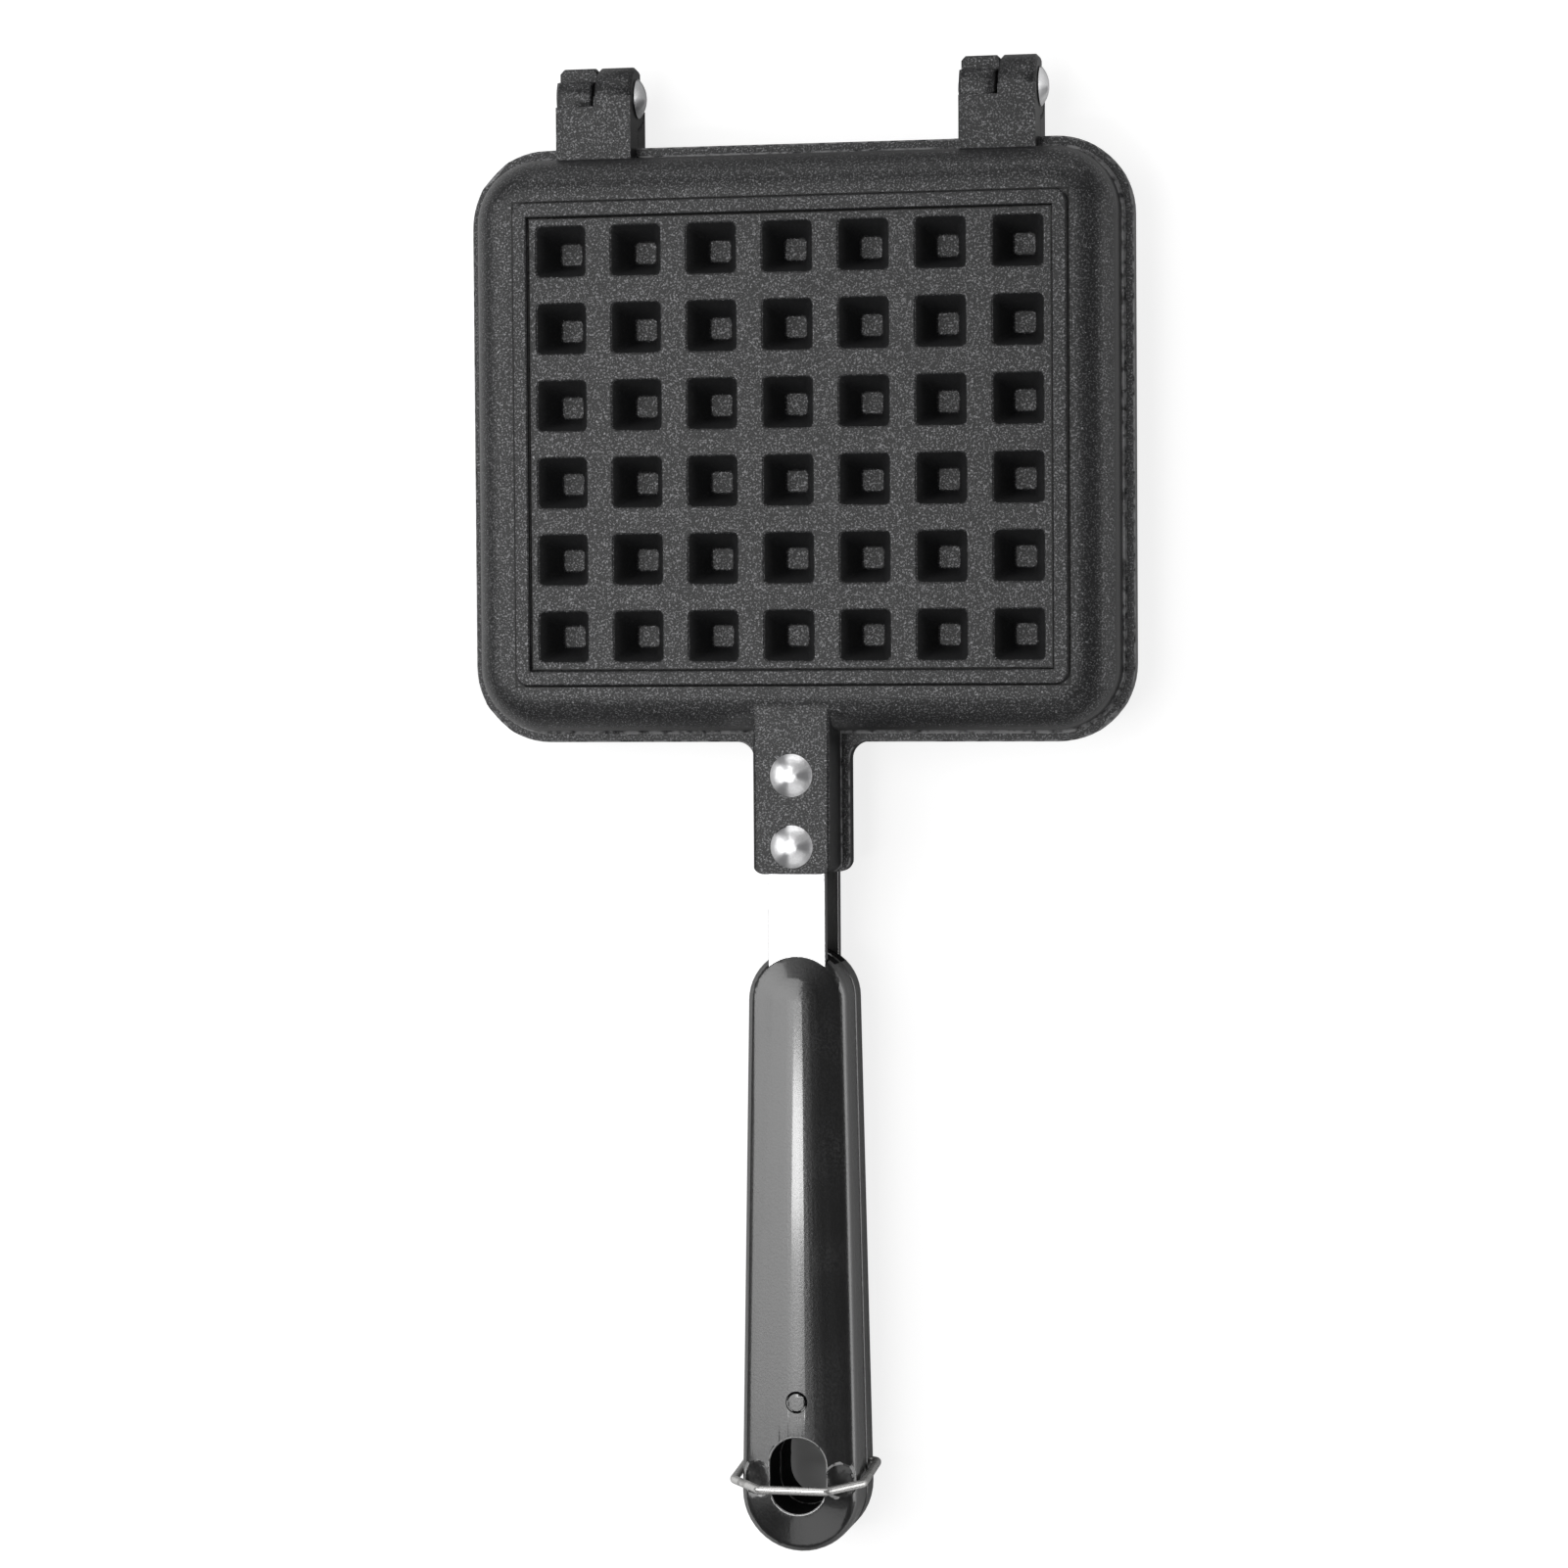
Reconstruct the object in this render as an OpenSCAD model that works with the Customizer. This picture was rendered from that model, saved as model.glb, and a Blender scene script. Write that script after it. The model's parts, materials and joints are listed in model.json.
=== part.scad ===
// Egg waffle pan: two cast plates with pocketed backs, hinged at the far edge.
// Each plate carries a steel strap in a moulded handle, and a wire bail holds the handles shut.
// Lengths are in millimetres. The pan lies shut on the ridge of its lower plate, hinge towards +Y.

/* [Waffle grid] */
// Columns of pockets across a plate
columns = 7; // [3:1:7]
// Rows of pockets along a plate
rows = 6; // [3:1:6]
// Distance between the centres of neighbouring pockets
pitch = 18; // [16:0.5:20]
// Width of a pocket at its open end
pocket_w = 11.8; // [10:0.1:13]
// Width of a pocket at its floor
pocket_floor_w = 5.4; // [4:0.1:7]
// Depth of a pocket
pocket_d = 10.7; // [8:0.1:11]

/* [Plates] */
// Thickness of the cast walls
wall_t = 2.2; // [1.6:0.1:2.6]
// Height of the raised back above the parting plane
back_h = 15.5; // [15:0.1:18]
// Radius of the rounded shoulder around the back
shoulder_r = 9; // [6:0.5:10]
// Flat land between the shoulder and the ridge
land_w = 1.8; // [1:0.1:4]
// Corner radius of the raised back, seen from above
back_r = 15.2; // [12:0.1:20]
// Width of the flange outside the raised back
flange_lip = 2.8; // [2:0.1:5]
// Thickness of the flange
flange_t = 2.2; // [1.6:0.1:3.2]

/* [Ridge] */
// Width of the ridge that frames the pockets
ridge_w = 3.4; // [2.5:0.1:5]
// Height of the ridge above the back
ridge_h = 1.3; // [1.2:0.1:2.5]
// Space between the outer pockets and the ridge
ridge_margin = 2.1; // [1:0.1:4]
// Outer corner radius of the ridge
ridge_r = 3; // [1.5:0.1:5]

/* [Hinge] */
// Distance between the middles of the two lugs
lug_spacing = 96; // [70:1:104]
// Width of a lug, both halves together
lug_w = 18; // [14:0.5:24]
// Distance from the flange to the hinge axis
hinge_reach = 11.8; // [10:0.1:15]
// Radius of a knuckle, and height of the lug above the parting plane
knuckle_r = 7.4; // [6.5:0.1:8.4]
// Bevel on the ends of a knuckle
knuckle_bevel = 0.8; // [0.4:0.1:1.2]
// Distance from the hinge axis to the step on the inner side of a knuckle
step_reach = 3.6; // [3.4:0.1:5]
// Height of that step above the parting plane
step_h = 2.8; // [2.6:0.1:4]
// Diameter of a hinge pin
pin_d = 5; // [4:0.1:6]
// Diameter of the domed head of a hinge pin
pin_head_d = 9.3; // [7:0.1:12]
// Height of that head
pin_head_h = 1.8; // [1.2:0.1:3]
// Diameter of the closed end of a hinge pin
pin_peen_d = 6.8; // [6.4:0.1:8]
// Height of that closed end
pin_peen_h = 0.9; // [0.6:0.1:1.5]

/* [Tang] */
// Width of a tang at its foot, without its rims
tang_w = 18.8; // [18:0.1:22]
// Width of the rim along each side of a tang
tang_rim = 2.1; // [1:0.1:3]
// Height of a tang above the parting plane
tang_h = 14.6; // [13:0.1:14.8]
// Length of a tang beyond the flange
tang_l = 30.5; // [26:0.5:40]
// Lean of each side of a tang from foot to top
tang_lean = 0.3; // [0.1:0.1:0.8]
// Radius along the upper edges of a tang
tang_edge_r = 0.7; // [0.4:0.1:1.2]
// Corner radius at the end of a tang and of its rims
tang_end_r = 2.8; // [1:0.1:5]
// Radius of the blend between the flange and the rims of a tang
tang_blend_r = 4; // [2:0.1:6]

/* [Straps] */
// Width of a strap
strap_w = 13.6; // [10:0.1:15]
// Thickness of a strap
strap_t = 3; // [2:0.1:3.6]
// Height of the outer face of a strap above the parting plane
strap_face_h = 9.5; // [8.6:0.1:10]
// Length of a strap inside its tang
strap_seat = 29; // [25:0.5:30]
// Length of a strap in the open between tang and handle
strap_open = 18; // [10:0.5:30]
// Length of a strap inside its handle
strap_grip = 96; // [50:1:100]

/* [Rivets] */
// Distance from the end of a tang to the outer rivet
rivet_edge = 6.4; // [5.5:0.1:8]
// Distance between the two rivets of a tang
rivet_pitch = 16.6; // [11:0.1:17]
// Diameter of a rivet shank
rivet_d = 5; // [4:0.1:6]
// Diameter of a domed rivet head
rivet_head_d = 10; // [8:0.1:12]
// Height of that head
rivet_head_h = 1.9; // [1.2:0.1:2]
// Diameter of the closed end of a rivet
rivet_peen_d = 7.4; // [6.5:0.1:9]
// Height of that closed end
rivet_peen_h = 1.2; // [0.8:0.1:2]

/* [Handles] */
// Length of a handle
handle_l = 141.7; // [110:0.1:170]
// Width of a handle at the end near the plates
handle_near_w = 24; // [20:0.1:28]
// Width of a handle at its far end
handle_far_w = 28.2; // [24:0.1:34]
// Height of a handle's crown above the parting plane, near the plates
handle_near_h = 12.6; // [12:0.1:16]
// Height of the crown at the far end
handle_far_h = 13.6; // [12.6:0.1:16]
// Fall of the crown from the middle of a handle to its edge
crown_fall = 2.4; // [1:0.1:3]
// Radius around the outer edge of a handle
handle_edge_r = 3.4; // [1.5:0.1:4]
// Bevel around the inner edge of a handle
handle_bevel = 0.8; // [0.3:0.1:1.5]
// Width of the hanging hole
hang_w = 13.5; // [8:0.1:14]
// Length of the hanging hole
hang_l = 18; // [14:0.1:22]
// Distance from the middle of the hanging hole to the end of the handle
hang_edge = 18.6; // [15:0.1:24]
// Diameter of the two round scoops beside the hanging hole
scoop_d = 8; // [6:0.1:9]
// Depth of a scoop
scoop_h = 1.1; // [0.6:0.1:1.5]
// Distance from the middle of a handle to the middle of a scoop
scoop_x = 9.8; // [8:0.1:11]
// Distance from the middle of the hanging hole back to the scoops
scoop_back = 1; // [0:0.1:3]
// Diameter of the round mould mark
mark_d = 5; // [3:0.1:7]
// Width and depth of the line of that mark
mark_line = 0.4; // [0.3:0.1:0.6]
// Distance from the middle of the hanging hole to the mould mark
mark_reach = 17.4; // [14:0.1:24]

/* [Bail] */
// Diameter of the bail's wire
wire_d = 2; // [1.5:0.1:2.4]
// Distance from the bail's pivot to its crossbar
bail_reach = 26.1; // [26:0.1:32]
// Distance from the pivot to the corners of the bail
bail_shoulder = 18.6; // [17.5:0.1:24]
// Length of the straight middle of the crossbar, corner to corner
bail_flat = 16; // [14:0.5:20]
// Radius of the bends, along the middle of the wire
bend_r = 1.4; // [1.3:0.1:2]
// Length of wire that turns into the side of the lower handle
bail_hook = 4.6; // [3:0.1:5]
// Lean of the bail towards the end of the handle as it lies
bail_lean = 6; // [0:1:12]
// Distance from the pivot to the end of the lower handle
bail_edge = 19.1; // [17:0.1:19.1]
// Height of the pivot below the parting plane
bail_drop = 6.8; // [6:0.1:7.5]

/* [Clearances] */
// Gap between the two flanges when the pan is shut
parting_gap = 0.2; // [0.1:0.05:0.6]
// Gap between the two handles when the pan is shut
handle_gap = 0.4; // [0.2:0.05:1]
// Gap between neighbouring knuckles, and between a knuckle and a pin head
hinge_gap = 0.3; // [0.15:0.05:0.6]
// Gap between a knuckle and the saddle that it turns in
saddle_gap = 0.35; // [0.2:0.05:0.6]
// Radial play of a hinge pin in its bore
pin_play = 0.06; // [0.03:0.01:0.1]
// Radial play of a rivet in its hole
rivet_play = 0.05; // [0.02:0.01:0.1]
// Play of a strap in its tang and in its handle, on each side
strap_play = 0.1; // [0.05:0.01:0.2]
// Gap between the side of a handle and the start of the bend in the bail
bail_gap = 0.1; // [0.05:0.05:1]
// Radial play of the bail's wire in its pivot hole
bail_play = 0.1; // [0.05:0.01:0.2]

/* [Hidden] */
$fn = 64;

// Colours of the finishes
coat = "#2d2e30";
steel = "silver";
bakelite = "#141414";

// Sides of the bail's wire, steps around one of its bends, and the small step
// in radius and in length where its bent part leaves a round hook
wire_sides = 16;
bend_steps = 5;
hook_step = 0.02;

// Sides of a handle's round ends, steps around its outer edge and over its crown
handle_sides = 48;
edge_steps = 6;
crown_steps = 5;

// Overlap that joins solids cleanly, and overshoot of a cut past a face
bite = 0.5;
through = 1;

// Outlines of a plate, all half widths and half lengths from its middle
grid_half = [(columns - 1) * pitch / 2 + pocket_w / 2, (rows - 1) * pitch / 2 + pocket_w / 2];
ridge_in = grid_half + [ridge_margin, ridge_margin];
ridge_out = ridge_in + [ridge_w, ridge_w];
back_half = ridge_out + [land_w + shoulder_r, land_w + shoulder_r];
flange_half = back_half + [flange_lip, flange_lip];

// Heights above the parting plane
foot_z = parting_gap / 2;
ceiling_z = back_h - wall_t;
rest_z = back_h + ridge_h;
pocket_floor_z = back_h - pocket_d;

// Slope of a pocket's sides, and the width of its wall measured level
pocket_slope = (pocket_w - pocket_floor_w) / 2 / pocket_d;
wall_level = wall_t * sqrt(1 + pocket_slope * pocket_slope);

// Half width of a tang with its rims
tang_rim_half = tang_w / 2 + tang_rim;

// Places along Y, from the middle of the plates
hinge_y = flange_half.y + hinge_reach;
tang_end_y = -flange_half.y - tang_l;
seat_y = tang_end_y + strap_seat;
outer_rivet_y = tang_end_y + rivet_edge;
inner_rivet_y = outer_rivet_y + rivet_pitch;
handle_near_y = tang_end_y - strap_open;
handle_far_y = handle_near_y - handle_l;
hang_y = handle_far_y + hang_edge;
scoop_y = hang_y - scoop_back;
pivot_y = handle_far_y + bail_edge;

// Legs of the bail and inner ends of its hooks, from the middle of the handle
leg_x = handle_half_at(pivot_y) + bail_gap + bend_r;
hook_x = handle_half_at(pivot_y) - bail_hook;

// Middle line of the bail in its own plane: x across the handle, y away from the pivot
bail_points = [
    [hook_x + bite, 0], [leg_x, 0], [leg_x, bail_shoulder], [bail_flat / 2, bail_reach],
    [-bail_flat / 2, bail_reach], [-leg_x, bail_shoulder], [-leg_x, 0], [-hook_x - bite, 0]
];

// Shift that puts the middle of the whole length at Y = 0
middle_y = (hinge_y + knuckle_r + handle_far_y) / 2;

// Radius of a sphere whose cap has the given width and height
function cap_r(d, h) = (d * d / 4 + h * h) / (2 * h);

// Share of the way from the round near end of a handle to its round far end
function handle_share(y) =
    let (near_c = handle_near_y - handle_near_w / 2)
    let (far_c = handle_far_y + handle_far_w / 2)
    max(0, min(1, (near_c - y) / (near_c - far_c)));

// Half width of a handle, and height of its crown, at a place along Y
function handle_half_at(y) = (handle_near_w + handle_share(y) * (handle_far_w - handle_near_w)) / 2;
function crown_at(y) = handle_near_h + handle_share(y) * (handle_far_h - handle_near_h);

// Height and slope of that crown at a distance from the middle line
function crown_side_h(x, y) =
    let (s = x / (handle_half_at(y) - handle_edge_r))
    crown_at(y) - crown_fall * s * s;
function crown_slope(x, y) =
    let (half = handle_half_at(y) - handle_edge_r)
    atan(2 * crown_fall * x / (half * half));

// Flat rectangle about the origin with rounded corners
module round_rect(half, r) {
    square([2 * half.x, 2 * (half.y - r)], center = true);
    square([2 * (half.x - r), 2 * half.y], center = true);
    for (sx = [-1, 1], sy = [-1, 1])
        translate([sx * (half.x - r), sy * (half.y - r)])
            circle(r = r);
}

// Half section of a tray: a wall with a rounded shoulder
module tray_section(reach, h, shoulder) {
    intersection() {
        square([reach, h]);
        union() {
            square([reach, h - shoulder]);
            square([reach - shoulder, h]);
            translate([reach - shoulder, h - shoulder])
                circle(r = shoulder);
        }
    }
}

// Rounded tray, solid: two crossing bars and four turned corners
module tray(half, h, r, shoulder) {
    for (side = [0, 180])
        rotate([0, 0, side]) {
            translate([0, half.y - r, 0])
                rotate([90, 0, 0])
                    linear_extrude(2 * (half.y - r))
                        tray_section(half.x, h, shoulder);
            translate([-half.x + r, 0, 0])
                rotate([90, 0, 90])
                    linear_extrude(2 * (half.x - r))
                        tray_section(half.y, h, shoulder);
            translate([half.x - r, half.y - r, 0])
                rotate_extrude(angle = 90)
                    tray_section(r, h, shoulder);
            translate([-half.x + r, half.y - r, 0])
                rotate([0, 0, 90])
                    rotate_extrude(angle = 90)
                        tray_section(r, h, shoulder);
        }
}

// Row of tapered bars along Y, one for each column or row
module taper_bars(count, length, low_z, low_w, high_z, high_w) {
    for (i = [0 : count - 1])
        translate([(i - (count - 1) / 2) * pitch, length / 2, 0])
            rotate([90, 0, 0])
                linear_extrude(length)
                    polygon([
                        [-low_w / 2, low_z], [low_w / 2, low_z],
                        [high_w / 2, high_z], [-high_w / 2, high_z]
                    ]);
}

// Grid of square tapered blocks, where the bars of both directions cross
module taper_grid(low_z, low_w, high_z, high_w) {
    intersection() {
        taper_bars(columns, 2 * back_half.y, low_z, low_w, high_z, high_w);
        rotate([0, 0, 90])
            taper_bars(rows, 2 * back_half.x, low_z, low_w, high_z, high_w);
    }
}

// Pockets in the back
module pockets() {
    taper_grid(pocket_floor_z, pocket_floor_w, back_h + through, pocket_w + 2 * through * pocket_slope);
}

// Studs that the pockets push into the baking side
module studs() {
    tip_z = pocket_floor_z - wall_t;
    tip_w = pocket_floor_w + 2 * (wall_level - wall_t * pocket_slope);
    root_z = ceiling_z + bite;
    taper_grid(tip_z, tip_w, root_z, tip_w + 2 * (root_z - tip_z) * pocket_slope);
}

// Ridge that frames the pockets and carries the pan on the stove
module ridge() {
    translate([0, 0, back_h - bite])
        linear_extrude(ridge_h + bite)
            difference() {
                round_rect(ridge_out, ridge_r);
                square(2 * ridge_in, center = true);
            }
}

// Section of a tang: leaning sides and rounded upper edges
module tang_section() {
    edge_z = tang_h - tang_edge_r;
    top_half = tang_w / 2 - tang_lean;
    polygon([
        [-tang_w / 2, foot_z], [tang_w / 2, foot_z],
        [top_half, edge_z], [-top_half, edge_z]
    ]);
    translate([tang_edge_r - top_half, foot_z])
        square([2 * (top_half - tang_edge_r), tang_h - foot_z]);
    for (side = [-1, 1])
        translate([side * (top_half - tang_edge_r), edge_z])
            circle(r = tang_edge_r);
}

// Outline of a tang seen from above: square at its root, round corners at its end
module tang_outline(half_w, root_y) {
    half_l = (root_y - tang_end_y) / 2;
    translate([0, root_y - half_l]) {
        round_rect([half_w, half_l], tang_end_r);
        translate([-half_w, 0])
            square([2 * half_w, half_l]);
    }
}

// Tang: a channel over the strap, open towards the parting plane, with a rim along each side
module tang() {
    root_y = -back_half.y + shoulder_r;
    intersection() {
        translate([0, root_y, 0])
            rotate([90, 0, 0])
                linear_extrude(root_y - tang_end_y)
                    tang_section();
        linear_extrude(tang_h)
            tang_outline(tang_w / 2, root_y);
    }
    translate([0, 0, foot_z])
        linear_extrude(flange_t)
            tang_outline(tang_rim_half, root_y);
}

// Blends between the flange and the rims of the tang
module tang_blends() {
    for (side = [-1, 1])
        translate([side * (tang_rim_half + tang_blend_r), -flange_half.y - tang_blend_r, foot_z])
            linear_extrude(flange_t)
                difference() {
                    translate([side > 0 ? -tang_blend_r - bite : -bite, 0])
                        square([tang_blend_r + 2 * bite, tang_blend_r + bite]);
                    circle(r = tang_blend_r);
                    translate([side > 0 ? 0 : -2 * bite, -bite])
                        square([2 * bite, tang_blend_r + bite]);
                }
}

// Channel in the tang for the strap
module strap_channel() {
    translate([-strap_w / 2 - strap_play, tang_end_y - through, -through])
        cube([
            strap_w + 2 * strap_play,
            strap_seat + through + strap_play,
            strap_face_h + through
        ]);
}

// Round bar along X, bevelled at both ends
module bevelled_bar(r, length, bevel) {
    rotate([0, 90, 0])
        rotate_extrude()
            polygon([
                [0, 0], [r - bevel, 0], [r, bevel],
                [r, length - bevel], [r - bevel, length], [0, length]
            ]);
}

// One lug: a knuckle on its +X half, a saddle for the other plate's knuckle on its -X half
module lug() {
    root_y = back_half.y - wall_t;
    half_w = (lug_w - hinge_gap) / 2;
    difference() {
        translate([-lug_w / 2, root_y, foot_z])
            cube([lug_w, hinge_y - root_y, knuckle_r - foot_z]);
        translate([-lug_w / 2 - through, hinge_y, 0])
            rotate([0, 90, 0])
                cylinder(r = knuckle_r + saddle_gap, h = lug_w / 2 + through + hinge_gap / 2);
    }
    difference() {
        translate([hinge_gap / 2, hinge_y, 0])
            bevelled_bar(knuckle_r, half_w, knuckle_bevel);
        translate([0, hinge_y + step_reach, -step_h - knuckle_r])
            cube([lug_w, knuckle_r, knuckle_r]);
    }
}

// One cast plate. Its parting plane is z = 0 and its back faces +Z.
module plate() {
    difference() {
        union() {
            translate([0, 0, foot_z])
                tray(back_half, back_h - foot_z, back_r, shoulder_r);
            translate([0, 0, foot_z])
                linear_extrude(flange_t)
                    round_rect(flange_half, back_r + flange_lip);
            ridge();
            tang();
            tang_blends();
            for (side = [-1, 1])
                translate([side * lug_spacing / 2, 0, 0])
                    lug();
        }
        translate([0, 0, -through])
            tray(
                back_half - [wall_t, wall_t], ceiling_z + through,
                back_r - wall_t, shoulder_r - wall_t
            );
        strap_channel();
        for (y = [outer_rivet_y, inner_rivet_y])
            translate([0, y, 0])
                cylinder(d = rivet_d + 2 * rivet_play, h = tang_h + through);
        for (side = [-1, 1])
            translate([side * lug_spacing / 2 - lug_w, hinge_y, 0])
                rotate([0, 90, 0])
                    cylinder(d = pin_d + 2 * pin_play, h = 2 * lug_w);
    }
}

// Plate with its grid of studs and pockets
module waffle_plate() {
    difference() {
        union() {
            plate();
            studs();
        }
        pockets();
    }
}

// Domed head of the given width and height, base at z = 0
module dome_head(d, h) {
    intersection() {
        translate([0, 0, h - cap_r(d, h)])
            sphere(r = cap_r(d, h));
        cylinder(d = d, h = h);
    }
}

// Hinge pin along X through one lug: domed head on the right, closed end on the left
module hinge_pin() {
    reach = lug_w / 2 + hinge_gap;
    translate([-reach, hinge_y, 0])
        rotate([0, 90, 0]) {
            cylinder(d = pin_d, h = 2 * reach);
            translate([0, 0, 2 * reach])
                dome_head(pin_head_d, pin_head_h);
            mirror([0, 0, 1])
                dome_head(pin_peen_d, pin_peen_h);
        }
}

// Steel strap, from the seat in the tang to the end of its grip in the handle
module strap() {
    difference() {
        translate([-strap_w / 2, handle_near_y - strap_grip, strap_face_h - strap_t])
            cube([strap_w, seat_y - handle_near_y + strap_grip, strap_t]);
        for (y = [outer_rivet_y, inner_rivet_y])
            translate([0, y, 0])
                cylinder(d = rivet_d + 2 * rivet_play, h = tang_h);
    }
}

// Rivet through tang and strap, head on the back of the tang
module rivet(y) {
    strap_low = strap_face_h - strap_t;
    translate([0, y, 0]) {
        translate([0, 0, strap_low])
            cylinder(d = rivet_d, h = tang_h - strap_low);
        translate([0, 0, tang_h])
            dome_head(rivet_head_d, rivet_head_h);
        translate([0, 0, strap_low])
            mirror([0, 0, 1])
                dome_head(rivet_peen_d, rivet_peen_h);
    }
}

// Half section of a round handle end: bevelled foot, rounded edge and falling crown
function handle_section(r, h) =
    let (edge_h = h - crown_fall)
    concat(
        [[0, handle_gap / 2], [r - handle_bevel, handle_gap / 2], [r, handle_gap / 2 + handle_bevel]],
        [for (i = [0 : edge_steps - 1])
            let (a = 90 * i / edge_steps)
            [r - handle_edge_r * (1 - cos(a)), edge_h - handle_edge_r * (1 - sin(a))]],
        [for (i = [crown_steps : -1 : 0])
            let (s = i / crown_steps)
            [s * (r - handle_edge_r), h - crown_fall * s * s]]
    );

// Outer form of a handle, a smooth shell between its two round ends
module handle_form() {
    hull() {
        translate([0, handle_near_y - handle_near_w / 2, 0])
            rotate_extrude($fn = handle_sides)
                polygon(handle_section(handle_near_w / 2, handle_near_h));
        translate([0, handle_far_y + handle_far_w / 2, 0])
            rotate_extrude($fn = handle_sides)
                polygon(handle_section(handle_far_w / 2, handle_far_h));
    }
}

// Hanging hole, longer than it is wide
module hang_hole() {
    shift = (hang_l - hang_w) / 2;
    translate([0, hang_y, -through]) {
        for (side = [-1, 1])
            translate([0, side * shift, 0])
                cylinder(d = hang_w, h = handle_far_h + 2 * through);
        translate([-hang_w / 2, -shift, 0])
            cube([hang_w, 2 * shift, handle_far_h + 2 * through]);
    }
}

// Slot in a handle for its strap
module strap_slot() {
    slot_w = strap_w + 2 * strap_play;
    slot_y = handle_near_y - strap_grip - strap_play;
    translate([-slot_w / 2, slot_y, strap_face_h - strap_t - strap_play])
        cube([slot_w, strap_grip + handle_near_w, strap_t + 2 * strap_play]);
}

// Round line that a mould pin leaves in the crown of a handle
module mould_mark() {
    mark_y = hang_y + mark_reach;
    translate([0, mark_y, crown_at(mark_y) - mark_line])
        difference() {
            cylinder(d = mark_d, h = crown_fall);
            translate([0, 0, -through])
                cylinder(d = mark_d - 2 * mark_line, h = crown_fall + 2 * through);
        }
}

// Round scoops in the crown of a handle, square to its surface on both sides of the hanging hole
module scoops() {
    r = cap_r(scoop_d, scoop_h);
    for (side = [-1, 1])
        translate([side * scoop_x, scoop_y, crown_side_h(scoop_x, scoop_y)])
            rotate([0, side * crown_slope(scoop_x, scoop_y), 0])
                translate([0, 0, r - scoop_h])
                    sphere(r = r);
}

// One handle
module handle() {
    difference() {
        handle_form();
        strap_slot();
        hang_hole();
        mould_mark();
        scoops();
    }
}

// Places a shape at the pivot of the bail
module at_pivot() {
    translate([0, pivot_y, -bail_drop])
        children();
}

// Direction from one point to another, as a unit vector and as an angle
function heading(p, q) = (q - p) / norm(q - p);
function heading_angle(p, q) = atan2(q.y - p.y, q.x - p.x);

// Turn at point i of a path, in degrees, positive to the left
function turn_at(path, i) =
    let (a = heading(path[i - 1], path[i]), b = heading(path[i], path[i + 1]))
    atan2(a.x * b.y - a.y * b.x, a * b);

// Places and headings along the round bend at point i of a path
function bend_stations(path, i) =
    let (turn = turn_at(path, i))
    let (side = sign(turn))
    let (in_a = heading_angle(path[i - 1], path[i]))
    let (start = path[i] - bend_r * tan(abs(turn) / 2) * [cos(in_a), sin(in_a)])
    let (centre = start + side * bend_r * [-sin(in_a), cos(in_a)])
    [for (s = [0 : bend_steps])
        let (a = in_a + turn * s / bend_steps)
        [centre + side * bend_r * [sin(a), -cos(a)], a]];

// Round wire along a flat path, with a round bend at each corner
module wire_path(path) {
    last = len(path) - 1;
    stations = concat(
        [[path[0], heading_angle(path[0], path[1])]],
        [for (i = [1 : last - 1]) each bend_stations(path, i)],
        [[path[last], heading_angle(path[last - 1], path[last])]]
    );
    ring_count = len(stations);
    r = wire_d / 2 - hook_step;
    points = [for (station = stations, k = [0 : wire_sides - 1])
        let (a = station[1], b = 360 * (k + 0.5) / wire_sides)
        [
            station[0].x - r * cos(b) * sin(a),
            station[0].y + r * cos(b) * cos(a),
            r * sin(b)
        ]];
    sides = [for (i = [0 : ring_count - 2], k = [0 : wire_sides - 1])
        let (n = (k + 1) % wire_sides)
        [
            i * wire_sides + n, i * wire_sides + k,
            (i + 1) * wire_sides + k, (i + 1) * wire_sides + n
        ]];
    caps = [
        [for (k = [0 : wire_sides - 1]) k],
        [for (k = [wire_sides - 1 : -1 : 0]) (ring_count - 1) * wire_sides + k]
    ];
    polyhedron(points, concat(sides, caps));
}

// Places a part made for the upper half
module upper() {
    translate([0, -middle_y, rest_z])
        children();
}

// Places the same part on the lower half, turned over about the Y axis
module lower() {
    translate([0, -middle_y, rest_z])
        rotate([0, 180, 0])
            children();
}

module upper_plate() {
    color(coat) upper() waffle_plate();
}

module lower_plate() {
    color(coat) lower() waffle_plate();
}

module hinge_pin_left() {
    color(steel) upper() translate([-lug_spacing / 2, 0, 0]) hinge_pin();
}

module hinge_pin_right() {
    color(steel) upper() translate([lug_spacing / 2, 0, 0]) hinge_pin();
}

module upper_strap() {
    color(steel) upper() strap();
}

module lower_strap() {
    color(steel) lower() strap();
}

module upper_rivet_inner() {
    color(steel) upper() rivet(inner_rivet_y);
}

module upper_rivet_outer() {
    color(steel) upper() rivet(outer_rivet_y);
}

module lower_rivet_inner() {
    color(steel) lower() rivet(inner_rivet_y);
}

module lower_rivet_outer() {
    color(steel) lower() rivet(outer_rivet_y);
}

module upper_handle() {
    color(bakelite) upper() handle();
}

// The lower handle has two blind holes in its sides for the bail
module lower_handle() {
    hole_l = bail_hook + bail_play + through;
    color(bakelite)
        difference() {
            lower() handle();
            upper() at_pivot()
                for (side = [0, 180])
                    rotate([0, 90, side])
                        translate([0, 0, hook_x - bail_play])
                            cylinder(d = wire_d + 2 * bail_play, h = hole_l, $fn = 32);
        }
}

// Bail: a bent wire with a round hook at each end that turns in the lower handle
module bail() {
    color(steel)
        upper() at_pivot() {
            rotate([90 + bail_lean, 0, 0])
                wire_path(bail_points);
            for (side = [0, 180])
                rotate([0, 90, side])
                    translate([0, 0, hook_x])
                        cylinder(d = wire_d, h = leg_x - bend_r - hook_step - hook_x);
        }
}

upper_plate();
lower_plate();
hinge_pin_left();
hinge_pin_right();
upper_strap();
lower_strap();
upper_rivet_inner();
upper_rivet_outer();
lower_rivet_inner();
lower_rivet_outer();
upper_handle();
lower_handle();
bail();
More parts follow.
